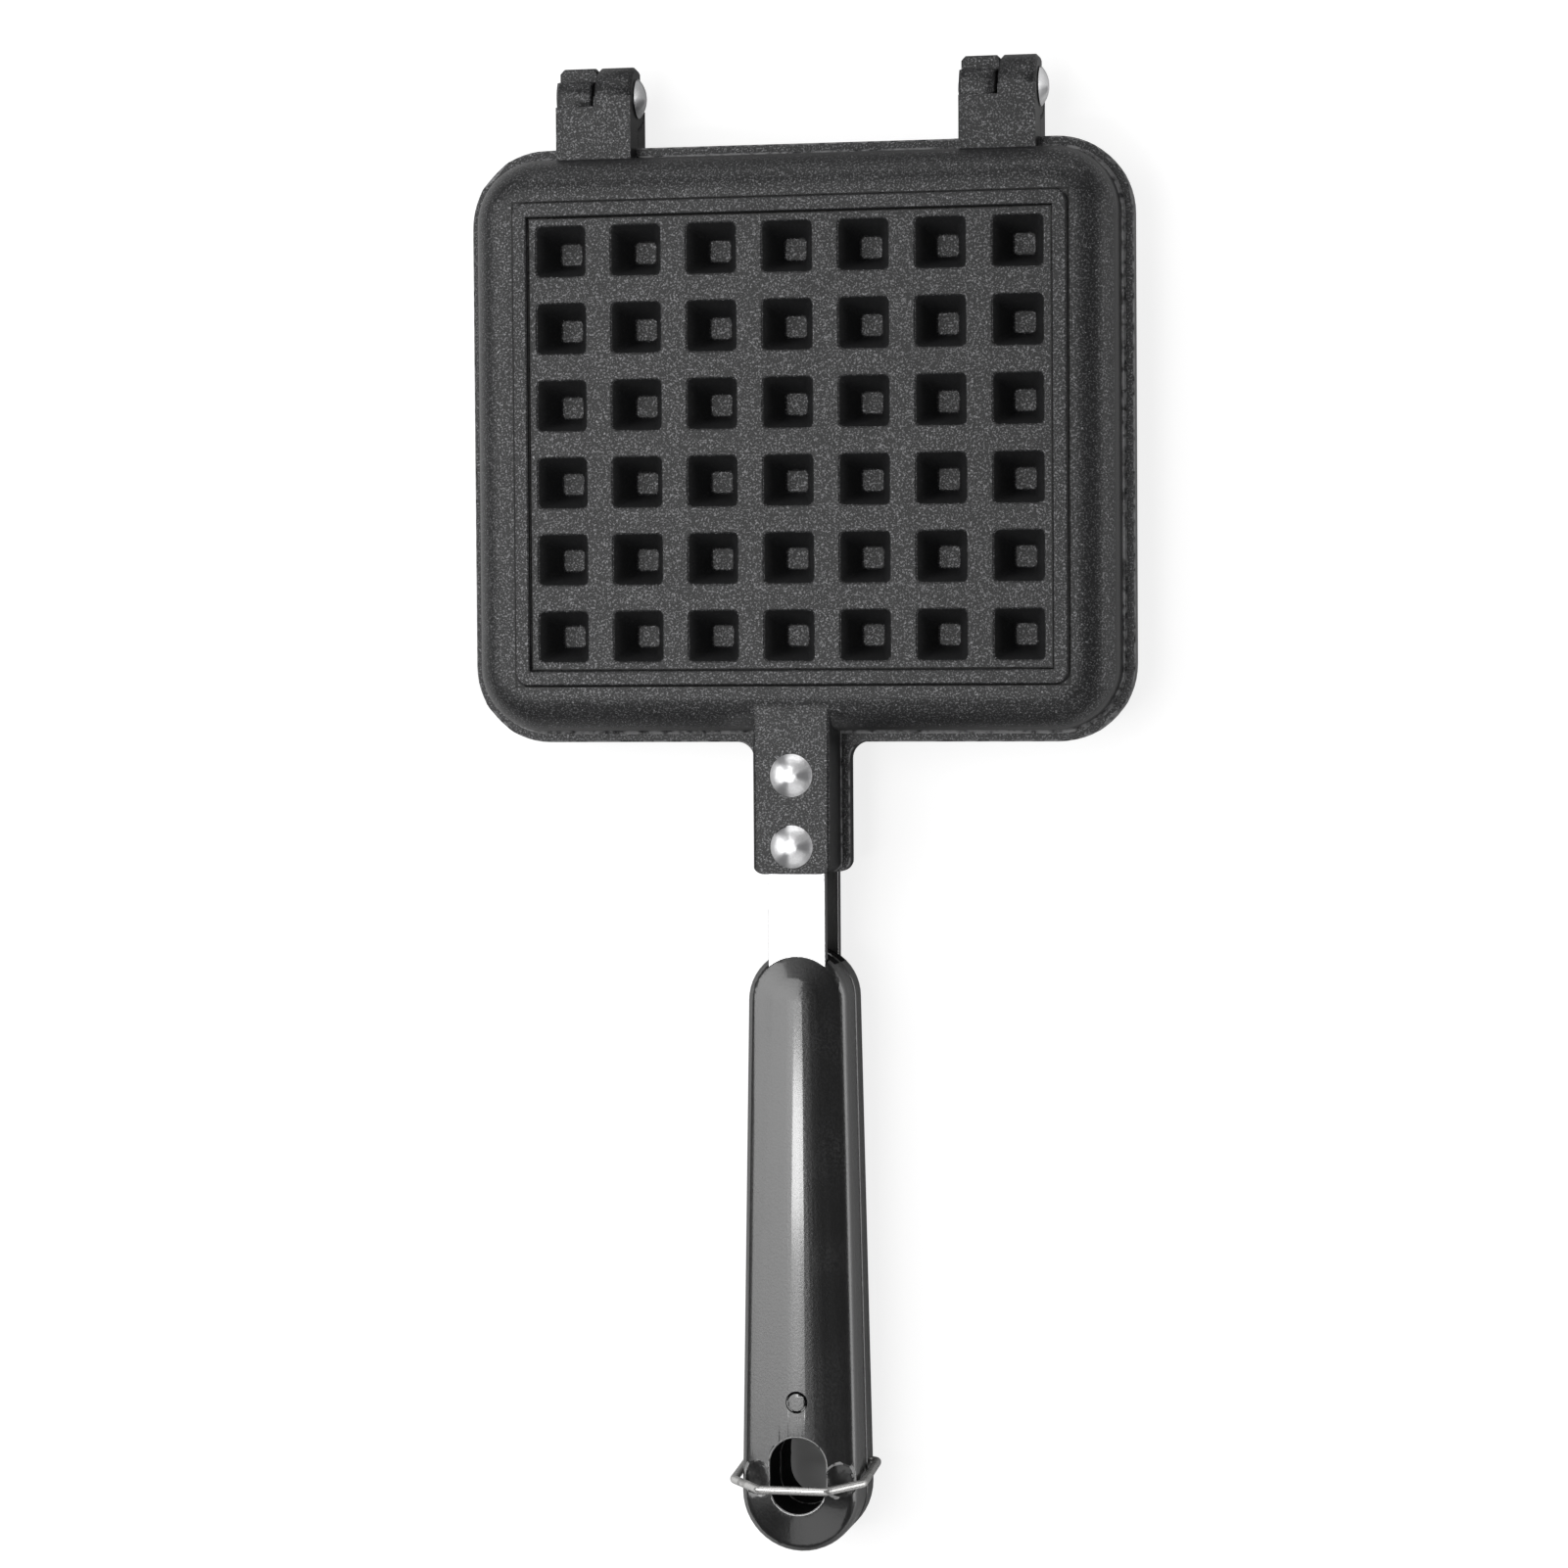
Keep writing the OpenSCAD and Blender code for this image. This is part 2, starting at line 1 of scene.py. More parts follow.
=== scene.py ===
import json
import math

import bmesh
import bpy
from bpy.props import FloatProperty, FloatVectorProperty, PointerProperty
from mathutils import Matrix, Vector

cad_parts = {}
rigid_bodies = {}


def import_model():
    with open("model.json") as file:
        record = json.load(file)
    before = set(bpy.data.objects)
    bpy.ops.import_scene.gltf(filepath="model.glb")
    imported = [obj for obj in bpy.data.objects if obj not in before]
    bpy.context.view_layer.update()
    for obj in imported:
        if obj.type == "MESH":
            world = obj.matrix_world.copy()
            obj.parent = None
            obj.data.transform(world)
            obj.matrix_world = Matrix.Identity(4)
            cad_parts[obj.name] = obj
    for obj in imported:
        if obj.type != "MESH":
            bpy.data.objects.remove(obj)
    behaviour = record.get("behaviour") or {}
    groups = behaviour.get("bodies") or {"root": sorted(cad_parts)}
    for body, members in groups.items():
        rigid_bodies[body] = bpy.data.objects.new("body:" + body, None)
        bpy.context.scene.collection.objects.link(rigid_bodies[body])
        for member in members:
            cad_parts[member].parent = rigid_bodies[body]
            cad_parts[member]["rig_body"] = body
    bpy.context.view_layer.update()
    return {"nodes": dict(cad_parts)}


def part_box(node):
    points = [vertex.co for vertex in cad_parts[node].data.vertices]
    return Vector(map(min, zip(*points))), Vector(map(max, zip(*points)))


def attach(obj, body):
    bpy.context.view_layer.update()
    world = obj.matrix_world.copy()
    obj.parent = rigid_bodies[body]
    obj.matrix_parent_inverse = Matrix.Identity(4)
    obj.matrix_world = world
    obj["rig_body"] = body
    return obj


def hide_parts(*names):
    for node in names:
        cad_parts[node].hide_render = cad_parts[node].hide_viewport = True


bl_info = {
    "name": "Waffle pan",
    "version": (1, 0, 0),
    "blender": (4, 5, 0),
    "location": "View3D > Sidebar > Waffle pan",
    "description": "Dresses the packed waffle pan in its coating, mouldings and bright metal",
    "category": "Object",
}

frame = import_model()

MM = 0.001

# Pockets across and along a plate
COLUMNS, ROWS = 7, 6

# Strips on each side of a handle's middle line, and parts along its length
CROWN_STRIPS, CROWN_PARTS = 10, 20

# Wedges of painted reflection on a rivet head
WEDGES = 3

# The shared grain
GRAIN_NAME = "Fine grain"
GRAIN_DETAIL = 2.0
GRAIN_ROUGHNESS = 0.6

# Angles in degrees above which an edge counts as sharp, and up to which faces shade as one
SHARP = {"casting": 25, "hole": 30, "scoop": 16, "mark": 40, "strap": 60}
SMOOTH = {"casting": 50, "handle": 35, "rivet": 40, "strap": 50, "wire": 40}

# Distances within which points are one, or lie on a line, a height, a wall or a crown
MERGED = 0.002 * MM
CUT = 0.001 * MM
ON_LINE = 0.01 * MM
ON_HEIGHT = 0.05 * MM
ON_HOLE = 0.06 * MM
ON_CROWN = 0.03 * MM

# Room around the grid, the raised back and the mould mark, and the width of the mark's groove
GRID_ROOM = 0.5 * MM
WALL_ROOM = 0.1 * MM
MARK_ROOM = 0.1 * MM
MARK_GROOVE = 0.5 * MM

# The rim of a scoop, as shares of its radius
SCOOP_RIM = (0.85, 1.05)

# Faces within this many degrees are one plane, and larger flat ones keep their own shading
ONE_PLANE = 0.4
FLAT_AREA = 3 * MM * MM

# Parts of a unit normal: square to an axis, nearly so, towards an end, and upright
SQUARE = 0.9995
NEARLY_SQUARE = 0.8
TOWARDS_END = 0.75
UPRIGHT = 0.1

# Shortest edge of a strap that is softened
STRAP_SIDE = 2 * MM

# The parting plane of the shut pan, which is the height of the hinge, and the handles' near end
HINGE_LOW, HINGE_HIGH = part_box("hinge_pin_left")
PARTING_Z = (HINGE_LOW.z + HINGE_HIGH.z) / 2
HANDLE_NEAR_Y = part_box("upper_handle")[1].y


# Sizes and colours

def distance(name, description, default):
    """A distance in metres."""
    return FloatProperty(name=name, description=description, default=default, unit="LENGTH")


def distances(name, description, default):
    """Two or three distances in metres."""
    return FloatVectorProperty(
        name=name, description=description, size=len(default), default=default, unit="LENGTH")


def fraction(name, description, default):
    """A value from 0 to 1."""
    return FloatProperty(name=name, description=description, default=default, min=0, max=1)


def colour_of(name, what, default):
    """The colour of something."""
    return FloatVectorProperty(
        name=name, description=f"Colour of {what}", subtype="COLOR", size=3, min=0, max=1,
        default=default)


def levels_of(name, what, default):
    """The levels of a grain: its scale, and the heights where its mask begins and is full."""
    return FloatVectorProperty(
        name=name, description=f"Scale of {what}, and the levels of its mask", size=3,
        default=default)


def roughness_of(name, what, default):
    """The lowest and the highest roughness of a surface."""
    return FloatVectorProperty(
        name=name, description=f"Lowest and highest roughness of {what}", size=2, min=0, max=1,
        default=default)


def relief_of(name, what, default):
    """The depth of a relief: its strength, and its height in metres."""
    return FloatVectorProperty(
        name=name, description=f"Strength of {what}, and its height in metres", size=2, min=0,
        default=default)


class CastingLook(bpy.types.PropertyGroup):
    """Shapes and coating of the two cast plates"""
    grid_middle: distance(
        "Grid middle", "Place along Y of the middle of the grid of pockets", 0.0855)
    grid_half: distances(
        "Grid half size", "Half width and half length of the grid of pockets", (0.0599, 0.0509))
    back_height: distance("Back height", "Height of a plate's back from the parting plane", 0.0155)
    ridge_height: distance("Ridge height", "Height of the ridge from the parting plane", 0.0168)
    pocket_floor: distance(
        "Pocket floor", "Height of the pocket floors from the parting plane", 0.0048)
    stud_tip: distance("Stud tip", "Height of the stud tips from the parting plane", 0.0026)
    ceiling: distance("Ceiling", "Height of the baking face from the parting plane", 0.0133)
    pitch: distance("Pitch", "Distance between the centres of neighbouring pockets", 0.018)
    flange_top: distance(
        "Flange top", "Height of the upper face of the flange from the parting plane", 0.0023)
    wall_half: distances(
        "Wall", "Half width and half length of the raised back where it meets the flange",
        (0.0762, 0.0672))
    foot_radius: distance("Foot fillet", "Fillet between the flange and the raised back", 0.0009)
    # Painted shade: steep faces, the pocket walls among them, get few flecks and so render darker
    steep_below: fraction(
        "Steep faces", "Faces whose normal rises less than this carry few flecks", 0.4)
    corner_radius: distance(
        "Pocket corner", "Rounding of the four corners of a pocket or stud", 0.0011)
    rim_radius: distance("Rim rounding", "Rounding of the rims of pockets, studs and ridge", 0.0004)
    edge_radius: distance("Casting edges", "Rounding of the other cast edges", 0.00035)
    coat: colour_of("Coating", "the non-stick coating", (0.014, 0.0142, 0.0148))
    fleck: colour_of("Flecks", "the light flecks in the coating", (0.135, 0.135, 0.139))
    # Lighter edges: rubbing on the outer edges, and a painted highlight along the foot fillet
    worn_and_highlit: colour_of("Worn and highlit edges", "the coating where its edges are rubbed", (0.20, 0.20, 0.203))
    sheen: fraction("Sheen", "Strength of the coating's reflections, as the specular level", 0.28)
    ridge_half: distances("Ridge", "Half width and half length inside the ridge", (0.062, 0.053))
    ridge_width: distance("Ridge width", "Width of the ridge", 0.0034)
    # Painted shade: the ridge shade values paint a thin dark line along both feet of the ridge
    ridge_shade_width: distance("Grime width", "Width of the dark line at the feet of the ridge", 0.0005)
    ridge_shade_colour: colour_of("Ridge shade", "the painted shade at the feet of the ridge", (0.004, 0.004, 0.004))
    flake: fraction("Flakes", "Metal share of the flecks in the coating", 0.9)
    # Lines and edge of the painted shade at the ridge's feet
    ridge_shade_middles: FloatVectorProperty(
        name="Grime lines",
        description="Middles of the inner and outer line beyond the ridge, in line widths",
        size=2, default=(0.5, 1.4))
    ridge_shade_edge: FloatVectorProperty(
        name="Grime edge", description="Where a line begins to fade and is gone, in line widths",
        size=2, default=(0.4, 0.7))
    speckle: levels_of("Speckle", "the flecks", (2300.0, 0.50, 0.68))
    spark: levels_of("Sparks", "the rarer bright flecks", (1700.0, 0.66, 0.72))
    cloud: levels_of("Clouds", "the faint clouds in the coating", (60.0, 0.35, 0.65))
    wear_and_highlight_grain: levels_of("Wear and highlight", "the rubbed stretches of the edges", (420.0, 0.35, 0.6))
    spark_gain: FloatProperty(
        name="Spark gain", description="Lightness of the bright flecks against the others",
        min=0, default=1.8)
    cloud_gain: FloatProperty(
        name="Cloud gain", description="Lightness of the clouds against the coating",
        min=0, default=1.2)
    # A small share of flecks on steep faces paints them darker as shade
    steep_flecks: fraction("Steep flecks", "Share of the flecks that steep faces carry", 0.1)
    roughness: roughness_of("Roughness", "the coating", (0.32, 0.46))
    bump: relief_of("Bump", "the coating's grain", (0.5, 0.0001))


class HandleLook(bpy.types.PropertyGroup):
    """Shapes and gloss of the two moulded handles"""
    near_middle: distance(
        "Near end", "Place along Y of the middle of the round end near the plates", -0.045)
    far_middle: distance("Far end", "Place along Y of the middle of the round far end", -0.1606)
    half_widths: distances(
        "Half widths", "Half widths of a handle at the near and at the far end", (0.012, 0.0141))
    crown_heights: distances(
        "Crown heights", "Heights of the crown from the parting plane, near and far",
        (0.0126, 0.0136))
    crown_fall: distance("Crown fall", "Fall of the crown from its middle to its edge", 0.0024)
    outer_radius: distance("Outer edge", "Radius around the outer edge of a handle", 0.0034)
    hole_middle: distance(
        "Hanging hole", "Place along Y of the middle of the hanging hole", -0.1561)
    hole_size: distances("Hole size", "Width and length of the hanging hole", (0.0135, 0.018))
    rim_radius: distance("Rims", "Rounding of the rims of the hanging hole and the scoops", 0.0004)
    scoop_middle: distances(
        "Scoops", "Place of a scoop's middle to the side and along Y", (0.0098, -0.1571))
    scoop_size: distance("Scoop size", "Diameter of a scoop", 0.008)
    mark_middle: distance("Mould mark", "Place along Y of the middle of the mould mark", -0.1387)
    mark_size: distance("Mark size", "Diameter of the mould mark", 0.005)
    mark_edge: distance("Mark edges", "Rounding of the mould mark's edges", 0.0001)
    crown_step: distance("Crown step", "Width of the strips that make the crown smooth", 0.001)
    black: colour_of("Moulded black", "the moulded handles", (0.002, 0.002, 0.0022))
    haze: colour_of("Haze", "the dust and rubbed patches on the handles", (0.006, 0.006, 0.0065))
    gloss: fraction(
        "Gloss", "Strength of the reflections under the clear skin, as the specular level", 0.9)
    # Lighter rims: rubbing, and a painted highlight around the hanging hole and the scoops
    worn_and_highlit: colour_of("Worn and highlit rims", "the moulding where its rims are rubbed", (0.30, 0.30, 0.30))
    skin_roughness: fraction("Skin roughness", "Roughness of the clear skin", 0.1)
    peel: levels_of("Peel", "the moulding's fine peel", (1700.0, 0.40, 0.62))
    haze_patches: levels_of("Haze patches", "the hazy patches", (45.0, 0.40, 0.75))
    scratches: levels_of("Scratches", "the lengthwise scratches", (700.0, 0.68, 0.74))
    scratch_stretch: FloatVectorProperty(
        name="Scratch stretch", description="Scale of the scratches along each axis",
        size=3, default=(1.0, 0.04, 1.0))
    wear_and_highlight_grain: levels_of("Wear and highlight", "the rubbed stretches of the rims", (500.0, 0.3, 0.5))
    roughness: roughness_of("Roughness", "the black under the skin", (0.32, 0.42))
    peel_bump: relief_of("Peel depth", "the peel", (0.4, 0.0001))
    scratch_bump: relief_of("Scratch depth", "the scratches", (0.1, 0.00002))
    matt_gloss: fraction(
        "Matt gloss", "Strength of the reflections where the moulding is matt", 0.05)
    matt_grain: levels_of("Matt grain", "the grain where the moulding is matt", (1300.0, 0.4, 0.65))
    matt_roughness: roughness_of("Matt roughness", "the matt moulding", (0.6, 0.8))
    matt_bump: relief_of("Matt depth", "the matt grain", (0.5, 0.0001))


class MetalLook(bpy.types.PropertyGroup):
    """Finishes of the rivets, pins, straps and wire"""
    rivet: colour_of("Rivets", "the rivets and hinge pins", (0.86, 0.86, 0.87))
    # Painted reflection: the wedges stand for the dark sectors that a turned head mirrors
    wedge_reflection_colour: colour_of("Painted reflection wedges", "the painted reflection wedges on the rivet heads", (0.42, 0.42, 0.43))
    wedge_turn: FloatProperty(
        name="Wedge turn",
        description="Turn of the painted reflection wedges about the rivet's axis, three times over",
        default=math.pi, subtype="ANGLE")
    strap: colour_of("Straps", "the plated straps", (0.85, 0.85, 0.86))
    # Darker sides and inner faces: bare shear-cut steel on the sides, and painted shade on the
    # inner faces and sides
    sheared: colour_of(
        "Sheared and shaded faces", "the sheared edges and inner faces of the straps", (0.28, 0.28, 0.28))
    wire: colour_of("Bail", "the drawn wire", (0.60, 0.595, 0.585))
    rivet_metal: fraction("Rivet metal", "Metal share of the rivets and hinge pins", 0.65)
    wire_metal: fraction("Wire metal", "Metal share of the wire", 0.8)
    wedge_edge: FloatVectorProperty(
        name="Wedge edge",
        description="Where a painted reflection wedge begins and is full, on the wave around the head",
        size=2, default=(0.1, 0.9))
    wedge_reach: FloatVectorProperty(
        name="Wedge reach",
        description="Distances from the axis where the wedges begin and are full, in millimetres",
        size=2, default=(1.0, 1.8))
    rivet_grain: levels_of("Rivet grain", "the fine grain of the rivets", (2600.0, 0.4, 0.7))
    rivet_waves: levels_of(
        "Rivet waves", "the waves that the riveting tool leaves", (420.0, 0.35, 0.65))
    rivet_shade: FloatProperty(
        name="Rivet shade", description="Lightness of the grain against the rivets",
        min=0, default=0.88)
    rivet_roughness: roughness_of("Rivet roughness", "the rivets", (0.26, 0.42))
    wave_bump: relief_of("Wave depth", "the waves", (0.35, 0.0003))
    wedge_bump: relief_of("Wedge depth", "the wedges", (0.3, 0.00012))
    strap_edge: distance("Strap edges", "Rounding of the straps' edges", 0.00025)
    strap_lines: levels_of("Rolling lines", "the rolling lines", (2400.0, 0.4, 0.7))
    strap_stretch: FloatVectorProperty(
        name="Line stretch", description="Scale of the rolling lines along each axis",
        size=3, default=(1.0, 0.02, 1.0))
    strap_patches: levels_of("Dull patches", "the dull patches on the straps", (160.0, 0.5, 0.7))
    strap_shade: FloatProperty(
        name="Patch shade", description="Lightness of the dull patches against the straps",
        min=0, default=0.85)
    strap_roughness: roughness_of("Strap roughness", "the straps", (0.24, 0.42))
    strap_bump: relief_of("Line depth", "the rolling lines", (0.25, 0.00002))
    wire_grain: levels_of("Wire grain", "the wire's drawn grain", (1800.0, 0.4, 0.7))
    wire_stain: levels_of("Wire stains", "the stains on the wire", (300.0, 0.5, 0.7))
    stain_shade: FloatProperty(
        name="Stain shade", description="Lightness of the stains against the wire",
        min=0, default=0.6)
    wire_roughness: roughness_of("Wire roughness", "the wire", (0.18, 0.4))
    wire_bump: relief_of("Wire depth", "the drawn grain", (0.2, 0.00002))


class StageLook(bpy.types.PropertyGroup):
    """Camera, floor and lights"""
    lens: FloatProperty(
        name="Lens", description="Focal length of the camera, in millimetres",
        min=10, default=101.187)
    sensor: FloatProperty(
        name="Sensor", description="Width of the camera's sensor, in millimetres",
        min=1, default=36)
    camera_place: distances("Camera", "Place of the camera", (0.2116, 0.04225, 1.0325))
    camera_turn: FloatVectorProperty(
        name="Camera angles", description="Turns of the camera about X, Y and Z, in degrees",
        size=3, default=(-2.112, 12.012, -0.409))
    floor_half: distance("Floor", "Half width of the square floor", 1.6)
    floor_colour: colour_of("Floor colour", "the floor under the pan", (0.35, 0.35, 0.35))
    floor_glow: fraction(
        "Floor white", "Strength of the white that the camera and mirrors see", 0.80)
    # Painted shadow: mirrors near the pan see no white from the floor
    mirror_reach: distances(
        "Mirrored floor",
        "Distances to the side where mirrors begin to see white, and see it fully",
        (0.02, 0.16))
    shade_place: distances(
        "Deep shade", "Place of the deep shade under the hanging holes", (-0.002, -0.1561, 0.0))
    shade_radius: distance(
        "Deep shade radius", "Radius of the deep shade under the hanging holes", 0.0095)
    shade_fade: distance("Deep shade edge", "Width over which the deep shade fades out", 0.002)
    left_power: FloatProperty(
        name="Left panel", description="Power of the large soft light on the left, in watts",
        min=0, default=9.4)
    lamp_power: FloatProperty(
        name="Overhead lamp",
        description="Power of the small light that the handles mirror, in watts",
        min=0, default=0.75)
    right_power: FloatProperty(
        name="Right panel", description="Power of the low soft light on the right, in watts",
        min=0, default=2.8)
    back_power: FloatProperty(
        name="Back panel", description="Power of the low soft light behind the hinge, in watts",
        min=0, default=3.5)
    front_power: FloatProperty(
        name="Front panel", description="Power of the soft light before the handles, in watts",
        min=0, default=1.9)
    fill: FloatProperty(
        name="Fill", description="Strength of the even light from all around",
        min=0, default=0.06)


# Name, place, aim and size of each light, and the value that holds its power; the second part
# of a size is along Y
LIGHTS = (
    ("Left panel", (-0.52, 0.13, 0.85), (0, 0.13, 0.03), (1.22, 0.94), "left_power"),
    ("Overhead lamp", (-0.135, -0.172, 0.95), (0, -0.11, 0.03), (0.24, 0.07), "lamp_power"),
    ("Right panel", (0.98, -0.05, 0.20), (0, -0.05, 0.03), (0.38, 0.9), "right_power"),
    ("Back panel", (0, 1.05, 0.50), (0, 0, 0.02), (1.1, 0.6), "back_power"),
    ("Front panel", (0.12, -0.85, 0.70), (0, -0.15, 0.03), (0.9, 0.8), "front_power"),
)


# Shared node group

def grain_group():
    """Fine grain at a chosen scale, built once: a mask between two levels, and the raw height."""
    group = bpy.data.node_groups.get(GRAIN_NAME)
    if group is not None:
        return group
    group = bpy.data.node_groups.new(GRAIN_NAME, "ShaderNodeTree")
    for name, way, kind in (
        ("Vector", "INPUT", "NodeSocketVector"),
        ("Scale", "INPUT", "NodeSocketFloat"),
        ("Low", "INPUT", "NodeSocketFloat"),
        ("High", "INPUT", "NodeSocketFloat"),
        ("Mask", "OUTPUT", "NodeSocketFloat"),
        ("Height", "OUTPUT", "NodeSocketFloat"),
    ):
        group.interface.new_socket(name=name, in_out=way, socket_type=kind)
    nodes, links = group.nodes, group.links
    start = nodes.new("NodeGroupInput")
    end = nodes.new("NodeGroupOutput")
    noise = nodes.new("ShaderNodeTexNoise")
    noise.inputs["Detail"].default_value = GRAIN_DETAIL
    noise.inputs["Roughness"].default_value = GRAIN_ROUGHNESS
    level = nodes.new("ShaderNodeMapRange")
    level.interpolation_type = "SMOOTHSTEP"
    links.new(start.outputs["Vector"], noise.inputs["Vector"])
    links.new(start.outputs["Scale"], noise.inputs["Scale"])
    links.new(noise.outputs["Fac"], level.inputs["Value"])
    links.new(start.outputs["Low"], level.inputs["From Min"])
    links.new(start.outputs["High"], level.inputs["From Max"])
    links.new(level.outputs["Result"], end.inputs["Mask"])
    links.new(noise.outputs["Fac"], end.inputs["Height"])
    return group


# Materials

class NodeWork:
    """A material under construction, and short ways to add nodes to it."""

    def __init__(self, name):
        self.material = bpy.data.materials.new(name)
        self.material.use_nodes = True
        self.nodes = self.material.node_tree.nodes
        self.links = self.material.node_tree.links
        self.nodes.clear()
        self.output = self.nodes.new("ShaderNodeOutputMaterial")
        self.place = self.nodes.new("ShaderNodeTexCoord").outputs["Object"]

    def feed(self, source, target):
        """Links a socket to the target, or writes a plain value there."""
        if isinstance(source, bpy.types.NodeSocket):
            self.links.new(source, target)
        else:
            target.default_value = source

    def step(self, kind, operation, sources, result):
        """One step of arithmetic, and the socket that holds its result."""
        node = self.nodes.new(kind)
        node.operation = operation
        for source, target in zip(sources, node.inputs):
            self.feed(source, target)
        return node.outputs[result]

    def value(self, operation, *sources):
        """Arithmetic on values."""
        return self.step("ShaderNodeMath", operation, sources, "Value")

    def vector(self, operation, *sources, result="Vector"):
        """Arithmetic on vectors."""
        return self.step("ShaderNodeVectorMath", operation, sources, result)

    def parts(self, vector):
        """The X, Y and Z values of a vector."""
        node = self.nodes.new("ShaderNodeSeparateXYZ")
        self.links.new(vector, node.inputs["Vector"])
        return node.outputs

    def numbers(self, value, low, high, start=0.0, end=1.0):
        """A value between start and end, spread between two numbers."""
        spread = self.nodes.new("ShaderNodeMapRange")
        self.links.new(value, spread.inputs["Value"])
        spread.inputs["From Min"].default_value = start
        spread.inputs["From Max"].default_value = end
        spread.inputs["To Min"].default_value = low
        spread.inputs["To Max"].default_value = high
        return spread.outputs["Result"]

    def colours(self, mask, first, second):
        """Mix of two colours, or of a colour socket and a colour, by a mask."""
        mix = self.nodes.new("ShaderNodeMix")
        mix.data_type = "RGBA"
        self.links.new(mask, mix.inputs["Factor"])
        # Of the node's sockets these are the colours A and B and their mix
        for colour, target in ((first, mix.inputs[6]), (second, mix.inputs[7])):
            plain = not isinstance(colour, bpy.types.NodeSocket)
            self.feed((*colour, 1) if plain else colour, target)
        return mix.outputs[2]

    def grain(self, levels, stretch=(1, 1, 1)):
        """Grain of the shared group: its mask, and its raw height.

        The levels are a scale, and the heights where the mask begins and is full."""
        mapping = self.nodes.new("ShaderNodeMapping")
        mapping.inputs["Scale"].default_value = stretch
        self.links.new(self.place, mapping.inputs["Vector"])
        node = self.nodes.new("ShaderNodeGroup")
        node.node_tree = grain_group()
        self.links.new(mapping.outputs["Vector"], node.inputs["Vector"])
        for name, level in zip(("Scale", "Low", "High"), levels):
            node.inputs[name].default_value = level
        return node.outputs["Mask"], node.outputs["Height"]

    def attribute(self, name):
        """The mark that the shaping left on a face."""
        node = self.nodes.new("ShaderNodeAttribute")
        node.attribute_name = name
        return node.outputs["Fac"]

    def bump(self, height, depth, under=None):
        """Normals of a relief on another; its depth is a strength and a height in metres."""
        node = self.nodes.new("ShaderNodeBump")
        node.inputs["Strength"].default_value, node.inputs["Distance"].default_value = depth
        self.links.new(height, node.inputs["Height"])
        if under is not None:
            self.links.new(under, node.inputs["Normal"])
        return node.outputs["Normal"]


class Finish(NodeWork):
    """The finish of a piece: a Principled shader and the nodes that feed it."""

    def __init__(self, name, colour, metallic=0.0):
        super().__init__(name)
        self.material.diffuse_color = (*colour, 1)
        self.shader = self.nodes.new("ShaderNodeBsdfPrincipled")
        self.links.new(self.shader.outputs["BSDF"], self.output.inputs["Surface"])
        self.set("Base Color", (*colour, 1))
        self.set("Metallic", metallic)

    def set(self, name, source):
        """Gives the shader a value, or a socket to read it from."""
        self.feed(source, self.shader.inputs[name])


def shaded(colour, share):
    """A colour made lighter or darker by a share."""
    return [part * share for part in colour]


def ridge_shade_mask(finish, look):
    """Mask of a thin line along both feet of the ridge, where shade is painted."""
    width = look.ridge_shade_width
    inside = [half - width for half in look.ridge_half]
    centred = finish.vector("SUBTRACT", finish.place, (0, look.grid_middle, 0))
    reach = finish.vector("SUBTRACT", finish.vector("ABSOLUTE", centred), (*inside, 0))
    across, along, _ = finish.parts(reach)
    reach = finish.value("MAXIMUM", across, along)
    full, clear = (width * share for share in look.ridge_shade_edge)
    lines = []
    for middle in (width * look.ridge_shade_middles[0], width * look.ridge_shade_middles[1] + look.ridge_width):
        apart = finish.value("ABSOLUTE", finish.value("SUBTRACT", reach, middle))
        lines.append(finish.numbers(apart, 1.0, 0.0, full, clear))
    return finish.value("MAXIMUM", *lines)


def casting_finish(look):
    """Satin non-stick coating: charcoal, flecks with flakes, and lighter edges, part painted
    highlight.
    """
    finish = Finish("Coated casting", look.coat)
    finish.set("Specular IOR Level", look.sheen)
    speckle, height = finish.grain(look.speckle)
    spark, _ = finish.grain(look.spark)
    cloud, _ = finish.grain(look.cloud)
    breaks, _ = finish.grain(look.wear_and_highlight_grain)
    # Painted shade: steep faces lose most of their flecks, so the pocket walls render darker
    unshaded_share = finish.numbers(finish.attribute("steep"), 1.0, look.steep_flecks)
    flecks = finish.value("MULTIPLY", speckle, unshaded_share)
    sparks = finish.value("MULTIPLY", spark, unshaded_share)
    # Lighter edges: rubbing on the flange's outer edges, and a painted highlight on the foot fillet
    worn_and_highlit = finish.value("MULTIPLY", finish.attribute("rubbed"), breaks)
    colour = finish.colours(cloud, look.coat, shaded(look.coat, look.cloud_gain))
    colour = finish.colours(flecks, colour, look.fleck)
    colour = finish.colours(sparks, colour, shaded(look.fleck, look.spark_gain))
    colour = finish.colours(worn_and_highlit, colour, look.worn_and_highlit)
    # Painted shade along both feet of the ridge
    finish.set("Base Color", finish.colours(ridge_shade_mask(finish, look), colour, look.ridge_shade_colour))
    finish.set("Metallic", finish.numbers(flecks, 0.0, look.flake))
    finish.set("Roughness", finish.numbers(height, *look.roughness))
    finish.set("Normal", finish.bump(height, look.bump))
    return finish.material


